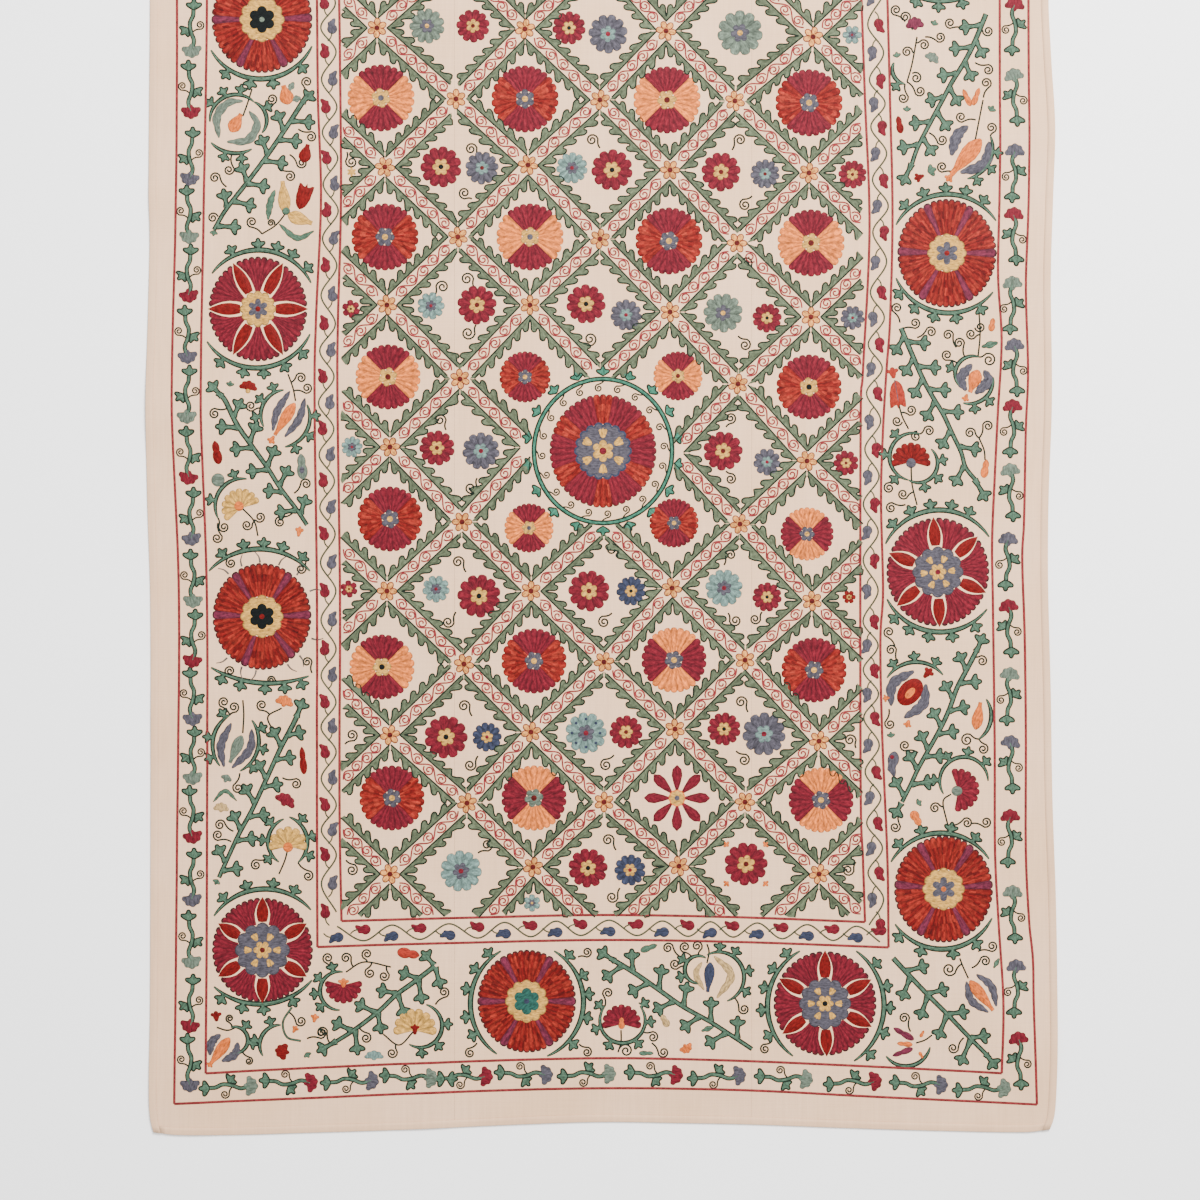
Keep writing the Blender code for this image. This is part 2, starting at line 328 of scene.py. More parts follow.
class Stitching:
    """Stitches gathered for one embroidered piece, laid on the cloth when they are all there."""

    def __init__(self, name):
        self.name = name
        self.places = []
        self.threads = []
        self.quads = []
        self.colours = []
        self.count = 0
        self.turned = False

    def add(self, x, y, height, colour, along, across):
        """A grid of points: x, y in pixels, height in mm, a colour for each quad, thread in mm."""
        x, y, height, along, across = np.broadcast_arrays(x, y, height, along, across)
        if self.turned:
            x, y = TURN_X - x, TURN_Y - y
        rows, columns = x.shape
        index = self.count + np.arange(rows * columns).reshape(rows, columns)
        corners = (index[:-1, :-1], index[1:, :-1], index[1:, 1:], index[:-1, 1:])
        self.quads.append(np.stack(corners, axis=-1).reshape(-1, 4))
        self.places.append(np.stack((x, y, height), axis=-1).reshape(-1, 3))
        mark = np.full(x.shape, chance.random() * 900)
        self.threads.append(np.stack((along, across, mark), axis=-1).reshape(-1, 3))
        shape = (rows - 1, columns - 1, 3)
        self.colours.append(np.broadcast_to(colour, shape).reshape(-1, 3))
        self.count += rows * columns

    def finish(self, material):
        """Lay the stitches on the cloth and make them one object."""
        pixels = np.concatenate(self.places)
        x = (pixels[:, 0] - MIDDLE_X) * PIXEL
        y = (MIDDLE_Y - pixels[:, 1]) * PIXEL
        u, v = unplace(x, y)
        z = under_height(u, v) + CLOTH_THICKNESS + pixels[:, 2] / 1000
        points = np.stack((x, y, z), axis=-1)
        quads = np.concatenate(self.quads)
        first = points[quads[:, 2], :2] - points[quads[:, 0], :2]
        second = points[quads[:, 3], :2] - points[quads[:, 1], :2]
        facing = first[:, 0] * second[:, 1] - first[:, 1] * second[:, 0]
        quads[facing < 0] = quads[facing < 0][:, ::-1]
        thing = make_mesh(self.name, points, quads)
        colours = np.ones((len(quads), 4), np.float32)
        colours[:, :3] = linear(np.clip(np.concatenate(self.colours), 0, 255))
        silk = thing.data.attributes.new("silk", "FLOAT_COLOR", "FACE")
        silk.data.foreach_set("color", colours.ravel())
        thread = thing.data.attributes.new("thread", "FLOAT_VECTOR", "POINT")
        thread.data.foreach_set("vector", np.concatenate(self.threads).astype(np.float32).ravel())
        thing.data.materials.append(material)
        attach(thing, "root")
        return thing


def unit(vectors):
    """Vectors brought to a length of 1."""
    return vectors / np.maximum(np.hypot(vectors[:, 0], vectors[:, 1]), 1e-9)[:, None]


def polar(x, y, distance, turn):
    """The pixel at a distance from another one, in a direction anticlockwise from the right."""
    return x + distance * math.cos(turn), y - distance * math.sin(turn)


CURVE_STEPS = 12


def smooth_path(points, pitch=1.5):
    """Places about a pitch apart along a smooth curve through the given points."""
    knots = np.array(points, float)
    before = 2 * knots[0] - knots[1]
    after = 2 * knots[-1] - knots[-2]
    knots = np.vstack((before, knots, after))
    t = np.linspace(0, 1, CURVE_STEPS, endpoint=False)[:, None]
    parts = []
    for a, b, c, d in zip(knots[:-3], knots[1:-2], knots[2:-1], knots[3:]):
        curve = 2 * b + (c - a) * t + (2 * a - 5 * b + 4 * c - d) * t**2
        parts.append((curve + (3 * b - a - 3 * c + d) * t**3) / 2)
    path = np.vstack((*parts, knots[-2:-1]))
    steps = np.hypot(*np.diff(path, axis=0).T)
    run = np.concatenate(([0], np.cumsum(steps)))
    count = max(3, round(run[-1] / pitch) + 1)
    wanted = np.linspace(0, run[-1], count)
    return np.stack([np.interp(wanted, run, path[:, axis]) for axis in (0, 1)], axis=1)


def arc_path(start, through, end, pitch=1.6):
    """Places on the circle through three points, from the first to the last."""
    (ax, ay), (bx, by), (cx, cy) = start, through, end
    d = 2 * (ax * (by - cy) + bx * (cy - ay) + cx * (ay - by))
    squares = (ax * ax + ay * ay, bx * bx + by * by, cx * cx + cy * cy)
    x = (squares[0] * (by - cy) + squares[1] * (cy - ay) + squares[2] * (ay - by)) / d
    y = (squares[0] * (cx - bx) + squares[1] * (ax - cx) + squares[2] * (bx - ax)) / d
    radius = math.hypot(ax - x, ay - y)
    first, middle, last = (math.atan2(py - y, px - x) for px, py in (start, through, end))
    whole = (last - first) % (2 * math.pi)
    if (middle - first) % (2 * math.pi) > whole:
        whole -= 2 * math.pi
    count = max(6, round(abs(whole) * radius / pitch) + 1)
    angle = first + np.linspace(0, whole, count)
    return np.stack((x + radius * np.cos(angle), y + radius * np.sin(angle)), axis=1)


def run_along(path):
    """Distance along a path at each of its points, in mm, and the direction across it."""
    ahead = unit(np.gradient(path, axis=0))
    across = np.stack((-ahead[:, 1], ahead[:, 0]), axis=1)
    steps = np.hypot(*np.diff(path, axis=0).T)
    run = np.concatenate(([0], np.cumsum(steps))) * PIXEL_MM
    return run, across


# A line's cross section: a flat top between two slopes, as shares of its half width.
LINE_SHARES = np.array([-1.0, -0.66, 0.66, 1.0])


def line(piece, path, width, colour, height=LINE_HEIGHT):
    """A single line of stitches along a path. Its width is in pixels."""
    run, across = run_along(path)
    half = np.broadcast_to(width, len(path))[:, None] / 2
    offset = half * LINE_SHARES
    x = path[:, :1] + across[:, :1] * offset
    y = path[:, 1:] + across[:, 1:] * offset
    rise = np.array([FOOT, height, height, FOOT])
    piece.add(x, y, rise[None, :], np.array(colour), run[:, None], offset * PIXEL_MM)


def inward(edge, middle, depth):
    """Places a depth in from an edge curve, square to it, on the side where the middle lies."""
    ahead = unit(np.gradient(edge, axis=0))
    aside = np.stack((-ahead[:, 1], ahead[:, 0]), axis=1)
    toward = np.sign(np.sum(aside * (middle - edge), axis=1))
    return edge + aside * (toward * depth)[:, None]


def ribbon(piece, path, left, right, fill, edge, rim=1.9, height=FILL_HEIGHT):
    """A filled band along a path with its outline, its left and right half widths in pixels."""
    run, across = run_along(path)
    left = np.broadcast_to(left, len(path))
    right = np.broadcast_to(right, len(path))
    left_edge = path - across * left[:, None]
    right_edge = path + across * right[:, None]
    left_rim = inward(left_edge, path, np.minimum(rim, 0.7 * left))
    right_rim = inward(right_edge, path, np.minimum(rim, 0.7 * right))
    points = np.stack((left_edge, left_rim, path, right_rim, right_edge), axis=1)
    aside = np.stack((-left, rim - left, 0 * left, right - rim, right), axis=1)
    rise = np.array([FOOT, 0.7 * height, height, 0.7 * height, FOOT])
    colour = np.array([edge, fill, fill, edge])[None]
    piece.add(points[..., 0], points[..., 1], rise[None, :], colour, run[:, None], aside * PIXEL_MM)


def leaf_width(path, half, blunt=0.7):
    """Half widths of a shape pointed at both ends of a path."""
    return half * np.sin(np.linspace(0.02, 0.98, len(path)) * math.pi) ** blunt


def reach_of(angle, lobes):
    """Distance from a centre to the outline of round lobes about it, in each direction."""
    reach = np.full(angle.shape, 0.12)
    for direction, distance, radius in lobes:
        turn = angle - math.radians(direction)
        inside = radius**2 - (distance * np.sin(turn)) ** 2
        far = distance * np.cos(turn) + np.sqrt(np.maximum(inside, 0))
        reach = np.where((inside > 0) & (far > reach), far, reach)
    return reach


def reach_through(angle, table):
    """Distance from a centre to an outline given as headings in degrees and distances."""
    headings = np.radians([row[0] for row in table])
    return np.interp(angle, headings, [row[1] for row in table], period=2 * math.pi)


def blob(piece, x, y, aim, size, lobes, fill, edge, rim=1.9, stretch=1.0, height=FILL_HEIGHT,
         steps=32, hand=1, under=FOOT):
    """A filled shape about a centre. aim is its heading, counted anticlockwise.

    The shape is made of round lobes, or of an outline given as headings and distances. under is the
    height of the stitches that it lies on.
    """
    angle = np.linspace(0, 2 * math.pi, steps + 1)
    reach = size * (reach_of(angle, lobes) if len(lobes[0]) == 3 else reach_through(angle, lobes))
    turn = math.radians(aim)
    ahead = reach * np.cos(angle) * stretch
    aside = hand * reach * np.sin(angle)
    outline = np.stack((ahead, aside), axis=1)
    run = unit(np.gradient(np.vstack((outline[-2], outline, outline[1])), axis=0)[1:-1])
    square = np.stack((-run[:, 1], run[:, 0]), axis=1) * hand
    inner = outline + square * np.minimum(rim, 0.45 * reach)[:, None]
    grid = np.stack((inner * 0.02, inner * 0.55, inner, outline))
    px = x + grid[..., 0] * math.cos(turn) - grid[..., 1] * math.sin(turn)
    py = y - grid[..., 0] * math.sin(turn) - grid[..., 1] * math.cos(turn)
    shoulder = 0.7 * height + 0.3 * max(under, 0)
    rise = np.array([height, 0.95 * height, shoulder, under])[:, None]
    colour = np.array([fill, fill, edge])[:, None]
    piece.add(px, py, rise, colour, grid[..., 0] * PIXEL_MM, grid[..., 1] * PIXEL_MM)


# A petal's steps across it with the painted shade of each, darker at its sides as shade in the grooves
# between petals and a little lighter in its middle, its bands from foot to tip, and the length in
# pixels under which it has fewer of them.
PETAL_STEPS = 6
PETAL_PAINTED_SHADES = (0.84, 0.99, 1.05, 1.05, 0.99, 0.84)
PETAL_BANDS = (0.0, 0.22, 0.44, 0.66, 0.84)
SHORT_PETAL = 10
SHORT_PETAL_RIM = 1.0
PETAL_ROUNDING = 0.62


def petals(piece, x, y, inner, outer, start, end, count, colour, edge, wide=1.0, tall=1.0,
           trim=None, vary=0.09, rim=1.1, other=None):
    """Petals that fan out between two headings. trim gives the degrees left bare at each radius.

    Each petal takes a colour between the first one and the other one.
    """
    step = np.arange(count * PETAL_STEPS + 1)
    phase = 2 * (step % PETAL_STEPS) / PETAL_STEPS - 1
    share = step / step[-1]
    half = math.radians(abs(end - start)) / count * outer / 2
    scallop = (1 - np.sqrt(1 - phase**2)) * half * PETAL_ROUNDING
    length = outer - scallop - inner
    out = np.array([*PETAL_BANDS, 1 - rim / (outer - inner), 1.0])
    if outer - inner < SHORT_PETAL:
        out = np.array([0.0, 0.4, 1 - SHORT_PETAL_RIM / (outer - inner), 1.0])
    radius = inner + length * out[:, None]
    low, high = start, end
    if trim is not None:
        bare = trim(inner + (outer - inner) * out)[:, None]
        low, high = start + bare, end - bare
    angle = np.radians(low + (high - low) * share)
    groove = 0.88 + 0.12 * np.sqrt(1 - 0.85 * phase**2)
    crown = np.interp(out, [0, 0.2, 0.9, 0.97, 1], [0.8, 1, 0.95, 0.8, 0.1])[:, None]
    rise = FILL_HEIGHT * groove * crown
    rise[-1] = FOOT
    px = x + wide * radius * np.cos(angle)
    py = y - tall * radius * np.sin(angle)
    bands = len(out) - 1
    tint = 1 + vary * chance.uniform(-1, 1, (bands, count * 2))
    # painted shade across each petal, darker at its sides by the grooves, times a random tint for each half
    # petal
    shade = np.repeat(tint, PETAL_STEPS // 2, axis=1) * np.tile(PETAL_PAINTED_SHADES, count)
    toward = np.repeat(chance.random((bands, count * 2)), PETAL_STEPS // 2, axis=1)
    first = np.array(colour, float)
    second = first if other is None else np.array(other, float)
    mixed = first + (second - first) * toward[..., None]
    colours = mixed * shade[..., None]
    colours[-1] = np.array(edge)
    aside = angle * (inner + outer) / 2
    piece.add(px, py, rise, colours, radius * PIXEL_MM, aside * PIXEL_MM + 0 * radius)


TENDRIL_SAG = 0.12


def curl(piece, x, y, radius, start, width=1.9, hand=1, turns=1.6):
    """A tendril that runs from a start point and winds up in a small spiral."""
    distance = math.hypot(start[0] - x, start[1] - y)
    toward = math.atan2(y - start[1], start[0] - x)
    first = toward
    if distance > radius * 1.02:
        first = toward + hand * math.acos(radius / distance)
    t = np.linspace(0, 1, 20)
    angle = first + hand * 2 * math.pi * turns * t
    wind = radius * (1 - 0.82 * t**0.9)
    path = np.stack((x + wind * np.cos(angle), y - wind * np.sin(angle)), axis=1)
    if distance > radius * 1.3:
        lead = np.linspace(0, 1, 6, endpoint=False)[:, None]
        tail = np.array(start) * (1 - lead) + path[0] * lead
        side = np.array((y - start[1], start[0] - x)) / distance
        tail = tail + hand * side * TENDRIL_SAG * distance * np.sin(lead * math.pi)
        path = np.vstack((tail, path))
    line(piece, path, width, DARK)


def nearest(path, x, y):
    """The point of a path nearest to a place, and its index."""
    index = int(np.argmin(np.hypot(path[:, 0] - x, path[:, 1] - y)))
    return path[index], index


def heading(start, end):
    """Heading in degrees from one pixel to another, anticlockwise from the right."""
    return math.degrees(math.atan2(start[1] - end[1], end[0] - start[0]))


# Lobes of the small shapes: heading, distance and radius of each round lobe, for a size of 1.
TREFOIL = ((0, 0.66, 0.36), (72, 0.60, 0.36), (-72, 0.60, 0.36), (180, 0.24, 0.34))
SIX_PETALS = tuple((60 * k, 0.62, 0.36) for k in range(6))
SIX_PETALS_FULL = (*((60 * k, 0.66, 0.34) for k in range(6)), (0, 0.0, 0.62))
SIX_STAR = (*((60 * k, 0.70, 0.28) for k in range(6)), (0, 0.0, 0.56))
ROUND = ((0, 0.0, 1.0),)


def both_sides(half):
    """A whole outline from one side of it, given as headings from 0 to 180 and distances."""
    return (*half, *((360 - turn, distance) for turn, distance in half if 0 < turn < 180))


# Outlines of small shapes: heading in degrees and distance from the centre, for a size of 1.
LEAF_HEAD = both_sides((
    (0, 1.06), (12, 1.02), (23, 0.87), (31, 0.72), (39, 0.75), (49, 0.92), (59, 1.06), (70, 1.09),
    (81, 1.02), (93, 0.84), (107, 0.64), (125, 0.52), (150, 0.46), (180, 0.48),
))
TULIP = both_sides((
    (0, 0.92), (12, 0.62), (26, 0.90), (34, 1.05), (44, 0.86), (64, 0.62), (110, 0.52), (150, 0.62),
    (180, 0.72),
))
TUFT = both_sides((
    (0, 1.00), (14, 0.72), (30, 0.95), (48, 0.98), (70, 0.66), (110, 0.50), (180, 0.72),
))
COMMA = (
    (0, 0.86), (12, 1.04), (26, 1.10), (34, 0.96), (42, 0.58), (60, 0.46), (90, 0.56), (130, 0.68),
    (180, 0.78), (225, 0.70), (262, 0.60), (290, 0.50), (308, 0.58), (326, 0.78), (344, 0.76),
)


def scallops(count):
    """Lobes of a round shape with that many small scallops about its edge."""
    radius = math.sin(math.pi / count) * 0.95
    return (*((360 / count * k, 1 - radius, radius) for k in range(count)), (0, 0.0, 1 - radius))


TWELVE_SCALLOPS = scallops(12)
EIGHT_SCALLOPS = scallops(8)


# Cloth.

CLOTH_PITCH = 0.012
SHARP_ANGLE = math.radians(50)


def slab(name, columns, rows):
    """One panel of cloth as a closed sheet on a fine grid."""
    u, v = np.meshgrid(columns, rows, indexing="ij")
    x, y = place(u, v)
    under = under_height(u, v)
    lower = np.stack((x, y, under), axis=-1)
    upper = np.stack((x, y, under + CLOTH_THICKNESS), axis=-1)
    count = u.size
    index = np.arange(count).reshape(u.shape)
    faces = np.stack((index[:-1, :-1], index[1:, :-1], index[1:, 1:], index[:-1, 1:]), axis=-1)
    faces = faces.reshape(-1, 4)
    rim = np.concatenate((index[:-1, 0], index[-1, :-1], index[:0:-1, -1], index[0, :0:-1]))
    ahead = np.roll(rim, -1)
    walls = np.stack((rim, ahead, ahead + count, rim + count), axis=-1)
    quads = np.concatenate((faces + count, faces[:, ::-1], walls))
    points = np.concatenate((lower.reshape(-1, 3), upper.reshape(-1, 3)))
    panel = make_mesh(name, points, quads)
    panel.data.set_sharp_from_angle(angle=SHARP_ANGLE)
    return panel


def spaced(start, end, pitch):
    """Even places from start to end, about a pitch apart."""
    return np.linspace(start, end, max(2, round((end - start) / pitch) + 1))


def panel_rows():
    """Places along the cloth for the panels' grids."""
    reach = CLOTH_LENGTH / 2
    return spaced(-reach + EDGE_INSET, reach - EDGE_INSET, CLOTH_PITCH)


def make_panels(material):
    """The three loom widths, each of them a sheet cut to its own size."""
    reach = CLOTH_WIDTH / 2 - EDGE_INSET
    spans = (
        ("panel_left", -reach, LEFT_SEAM_X - GAP / 2),
        ("panel_middle", LEFT_SEAM_X + GAP / 2, RIGHT_SEAM_X - GAP / 2),
        ("panel_right", RIGHT_SEAM_X + GAP / 2, reach),
    )
    for name, low, high in spans:
        panel = slab("cloth_" + name, spaced(low, high, CLOTH_PITCH), panel_rows())
        panel.data.materials.append(material)
        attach(panel, "root")
        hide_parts(name)


TURN_SEGMENTS = 6
STRIP_PITCH = 0.012
STRIP_MIDDLE = 0.6 * STRIP_WIDTH


def strip_ring():
    """The folded strip's closed section: inset from the outer edge, and height."""
    middle = STRIP_HEIGHT / 2
    ring = []
    for radius, order in ((STRIP_HEIGHT / 2, 1), (STRIP_HEIGHT / 2 - STRIP_THICKNESS, -1)):
        turn = [math.pi * (step / TURN_SEGMENTS - 0.5) for step in range(TURN_SEGMENTS + 1)]
        side = [(STRIP_WIDTH, middle - radius), (STRIP_MIDDLE, middle - radius)]
        side += [(STRIP_HEIGHT / 2 - radius * math.cos(a), middle + radius * math.sin(a)) for a in turn]
        side += [(STRIP_MIDDLE, middle + radius), (STRIP_WIDTH, middle + radius)]
        ring += side[::order]
    return np.array(ring)


def strip_mesh(name, stations, cut_place):
    """One folded strip along an edge. cut_place gives the place on the cut cloth of each point."""
    ring = strip_ring()
    u, v = cut_place(stations[:, None], ring[None, :, 0])
    x, y = place(u, v)
    z = lie_height(u, v) + ring[None, :, 1]
    points = np.stack((x, y, z + 0 * x), axis=-1).reshape(-1, 3)
    index = np.arange(len(points)).reshape(len(stations), len(ring))
    index = np.concatenate((index, index[:, :1]), axis=1)
    corners = (index[:-1, :-1], index[1:, :-1], index[1:, 1:], index[:-1, 1:])
    quads = np.stack(corners, axis=-1).reshape(-1, 4)
    half = len(ring) // 2
    caps = []
    for row in (index[0], index[-1]):
        outer, inner = row[:half], row[half : 2 * half][::-1]
        caps.append(np.stack((outer[:-1], outer[1:], inner[1:], inner[:-1]), axis=-1))
    quads = np.concatenate((quads, caps[0], caps[1][:, ::-1]))
    return make_mesh(name, points, quads)


def face_out(thing):
    """Turn a closed mesh's faces outward."""
    work = bmesh.new()
    work.from_mesh(thing.data)
    bmesh.ops.recalc_face_normals(work, faces=work.faces)
    work.to_mesh(thing.data)
    work.free()


def make_strips(material):
    """The four folded strips: two long ones up the sides and two that stop at them."""
    half_width, half_length = CLOTH_WIDTH / 2, CLOTH_LENGTH / 2
    reach = half_width - STRIP_WIDTH - GAP
    long_places = spaced(-half_length, half_length, STRIP_PITCH)
    short_places = spaced(-reach, reach, STRIP_PITCH)
    strips = (
        ("binding_left", long_places, lambda s, inset: (-(half_width - inset) + 0 * s, s + 0 * inset)),
        ("binding_right", long_places, lambda s, inset: (half_width - inset + 0 * s, s + 0 * inset)),
        ("binding_top", short_places, lambda s, inset: (s + 0 * inset, half_length - inset + 0 * s)),
        ("binding_bottom", short_places, lambda s, inset: (s + 0 * inset, -(half_length - inset) + 0 * s)),
    )
    for name, stations, cut_place in strips:
        strip = strip_mesh("cloth_" + name, stations, cut_place)
        face_out(strip)
        strip.data.materials.append(material)
        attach(strip, "root")
        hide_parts(name)


# Materials.


CLOTH_ROUGHNESS = 0.88
CLOTH_SHEEN = 0.15
WARP_THREADS = (420, 9, 1)
WEFT_THREADS = (9, 420, 1)
SLUBS = (130, 14, 1)
THREAD_TONES = (0.965, 1.03)
CLOTH_RELIEF = 0.0004

SILK_ROUGHNESS = 0.6
SILK_SPECULAR = 0.08
BROAD_STREAKS = (0.15, 0.36, 1)
BROAD_TONES = (0.58, 1.50)
FINE_STREAKS = (0.26, 1.3, 1)
FINE_TONES = (0.80, 1.22)
SILK_RELIEF = 0.0006


def new_material(name, roughness, sheen=0.0, specular=0.25):
    """A plain material, with its nodes, its links and its shader."""
    material = bpy.data.materials.new(name)
    material.use_nodes = True
    shader = material.node_tree.nodes["Principled BSDF"]
    shader.inputs["Roughness"].default_value = roughness
    shader.inputs["Metallic"].default_value = 0.0
    shader.inputs["Specular IOR Level"].default_value = specular
    shader.inputs["Sheen Weight"].default_value = sheen
    shader.inputs["Sheen Roughness"].default_value = 0.5
    return material, material.node_tree.nodes, material.node_tree.links, shader


def noise(nodes, links, source, scale, detail=2.0, stretch=(1, 1, 1)):
    """A noise texture over a vector, stretched along its axes."""
    mapping = nodes.new("ShaderNodeMapping")
    mapping.inputs["Scale"].default_value = stretch
    links.new(source, mapping.inputs["Vector"])
    texture = nodes.new("ShaderNodeTexNoise")
    texture.inputs["Scale"].default_value = scale
    texture.inputs["Detail"].default_value = detail
    links.new(mapping.outputs["Vector"], texture.inputs["Vector"])
    return texture.outputs["Fac"]


def between(nodes, links, source, low, high, from_low=0.3, from_high=0.7):
    """A value mapped on to the range low to high."""
    change = nodes.new("ShaderNodeMapRange")
    change.inputs["From Min"].default_value = from_low
    change.inputs["From Max"].default_value = from_high
    change.inputs["To Min"].default_value = low
    change.inputs["To Max"].default_value = high
    links.new(source, change.inputs["Value"])
    return change.outputs["Result"]


def multiply(nodes, links, first, second):
    """The product of two values."""
    node = nodes.new("ShaderNodeMath")
    node.operation = "MULTIPLY"
    links.new(first, node.inputs[0])
    links.new(second, node.inputs[1])
    return node.outputs["Value"]


def scaled_colour(nodes, links, colour, value):
    """A colour made lighter or darker by a value."""
    node = nodes.new("ShaderNodeVectorMath")
    node.operation = "SCALE"
    links.new(colour, node.inputs[0])
    links.new(value, node.inputs["Scale"])
    return node.outputs["Vector"]


def bumped(nodes, links, shader, height, distance, strength=0.6):
    """Fine relief from a height."""
    bump = nodes.new("ShaderNodeBump")
    bump.inputs["Strength"].default_value = strength
    bump.inputs["Distance"].default_value = distance
    links.new(height, bump.inputs["Height"])
    links.new(bump.outputs["Normal"], shader.inputs["Normal"])


def cloth_material(name, colour, warm):
    """Hand-woven cotton: uneven threads both ways, faint slubs and a slow change of tone."""
    material, nodes, links, shader = new_material(name, CLOTH_ROUGHNESS, sheen=CLOTH_SHEEN)
    place_of = nodes.new("ShaderNodeTexCoord").outputs["Object"]
    slow = noise(nodes, links, place_of, 5.0, 3.0)
    mix = nodes.new("ShaderNodeMix")
    mix.data_type = "RGBA"
    mix.inputs["A"].default_value = (*linear(colour), 1)
    mix.inputs["B"].default_value = (*linear(warm), 1)
    links.new(between(nodes, links, slow, 0, 1, 0.35, 0.65), mix.inputs["Factor"])
    warp = noise(nodes, links, place_of, 1.0, 2.0, WARP_THREADS)
    weft = noise(nodes, links, place_of, 1.0, 2.0, WEFT_THREADS)
    slub = noise(nodes, links, place_of, 1.0, 3.0, SLUBS)
    warp_tone = between(nodes, links, warp, *THREAD_TONES)
    weft_tone = between(nodes, links, weft, 0.97, 1.03)
    slub_tone = between(nodes, links, slub, *THREAD_TONES)
    tone = multiply(nodes, links, multiply(nodes, links, warp_tone, weft_tone), slub_tone)
    links.new(scaled_colour(nodes, links, mix.outputs["Result"], tone), shader.inputs["Base Color"])
    both = nodes.new("ShaderNodeMath")
    both.operation = "ADD"
    links.new(warp, both.inputs[0])
    links.new(weft, both.inputs[1])
    bumped(nodes, links, shader, both.outputs["Value"], CLOTH_RELIEF, 0.5)
    return material


def silk_material():
    """Loosely twisted silk: streaks along the thread, a soft gloss and fine relief."""
    material, nodes, links, shader = new_material("silk_thread", SILK_ROUGHNESS, specular=SILK_SPECULAR)
    colour = nodes.new("ShaderNodeAttribute")
    colour.attribute_name = "silk"
    thread = nodes.new("ShaderNodeAttribute")
    thread.attribute_name = "thread"
    broad = noise(nodes, links, thread.outputs["Vector"], 1.0, 2.0, BROAD_STREAKS)
    fine = noise(nodes, links, thread.outputs["Vector"], 1.0, 2.0, FINE_STREAKS)
    broad_tone = between(nodes, links, broad, *BROAD_TONES)
    tone = multiply(nodes, links, broad_tone, between(nodes, links, fine, *FINE_TONES))
    links.new(scaled_colour(nodes, links, colour.outputs["Color"], tone), shader.inputs["Base Color"])
    bumped(nodes, links, shader, fine, SILK_RELIEF, 0.7)
    return material


def floor_material():
    """A plain pale floor."""
    material, _, _, shader = new_material("floor", 0.9)
    shader.inputs["Base Color"].default_value = (1.0, 1.0, 1.0, 1)
    return material


# Red lines between the bands, and the field's outline, as points in pixels.
LINE_WIDTH = 2.8

BAND_LINES = (
    ((170, -198), (173, -130), (175, -60), (177, 0), (176, 200), (172, 400), (179, 600),
     (177, 850), (174.5, 1103.6)),
    ((201, -167), (205, -90), (207, 0), (204, 200), (201, 400), (207, 600), (207, 850),
     (206, 1073)),
    ((999.7, -166), (999.7, 0), (999.7, 180), (997.8, 270), (1001.6, 340), (998, 410), (995, 470),
     (992, 540), (992.7, 600), (994.6, 740), (995, 850), (998.4, 920), (1003, 1000),
     (1001.5, 1073)),
    ((1029, -198), (1028.4, 0), (1029, 180), (1025.8, 280), (1028, 370), (1025.8, 430),
     (1023.9, 520), (1022, 560), (1024.5, 640), (1025.8, 740), (1025.8, 850), (1029, 920),
     (1032.9, 960), (1033.7, 1010), (1036.7, 1104.3)),
    ((206, 1073), (330, 1067), (450, 1062), (600, 1058), (720, 1060), (860, 1066), (1001.5, 1073)),
    ((174.5, 1103.6), (310, 1098), (450, 1092), (600, 1088), (740, 1090), (880, 1097),
     (1036.7, 1104.3)),
    ((201, -167), (330, -161), (480, -154), (600, -152), (750, -156), (880, -161), (999.7, -166)),
    ((170, -198), (330, -191), (460, -184), (600, -182), (750, -186), (890, -192), (1029, -198)),
    ((314, -40), (316, -20), (317, 0), (318, 100), (321, 200), (316, 320), (314.6, 400),
     (317, 600), (317, 800), (317.4, 947)),
    ((339, -13), (340, 60), (341, 200), (338, 320), (337.5, 400), (340, 600), (339.5, 800),
     (341.5, 921)),
    ((861.5, -13), (861.5, 0), (865, 100), (869.5, 230), (863, 370), (860.6, 430), (860.6, 780),
     (863, 860), (865, 922)),
    ((886, -40), (887.4, 0), (890, 100), (892.5, 215), (890, 320), (886.5, 370), (883, 430),
     (881, 500), (883, 590), (880.4, 640), (882, 730), (887.4, 860), (888.5, 947.4)),
    ((341.5, 921), (480, 917.4), (600, 915), (730, 917), (865, 922)),
    ((317.4, 947), (380, 944.9), (454, 943), (600, 940), (740, 942), (888.5, 947.4)),
    ((339, -13), (470, -11), (600, -9), (730, -10), (861.5, -13)),
    ((314, -40), (470, -37), (600, -34), (750, -36), (886, -40)),
)


def make_band_lines(material):
    """Thin red lines that part the borders."""
    piece = Stitching("border_lines")
    for points in BAND_LINES:
        line(piece, smooth_path(points, 3.0), LINE_WIDTH, RED_LINE)
    return piece.finish(material)


# The lattice of the field: its knots, one row of them after another.
KNOT_ROWS = (
    ((456, -42), (600, -43), (735, -40)),
    ((377, 28), (525, 29), (666, 31), (813, 37)),
    ((456, 99), (600, 100), (735, 101)),
    ((385, 167), (528, 165), (670, 170), (809, 173)),
    ((458, 237), (600, 239), (737, 243)),
    ((387, 305), (530, 305), (670, 312), (811, 317)),
    ((460, 379), (600, 378), (738, 384)),
    ((390, 447), (530, 447), (674, 453), (807, 461)),
    ((462, 522), (604, 524), (740, 524)),
    ((387, 591), (531, 591), (672, 588), (812, 601)),
    ((464, 664), (604, 662), (745, 660)),
    ((390, 735), (531, 732), (675, 729), (819, 741)),
    ((467, 803), (604, 802), (745, 802)),
    ((390, 874), (533, 867), (679, 866), (819, 874)),
    ((464, 944), (606, 937), (748, 940)),
)
RING_KNOTS = ((600, 378), (530, 447), (674, 453), (604, 524))
FIELD_LEFT = 340.5
FIELD_RIGHT = 863.5
FIELD_TOP = -10.5
FIELD_BOTTOM = 917.5
FIELD_SEAMS = (454.5, 751.7)
SEAM_BARE = 2.0
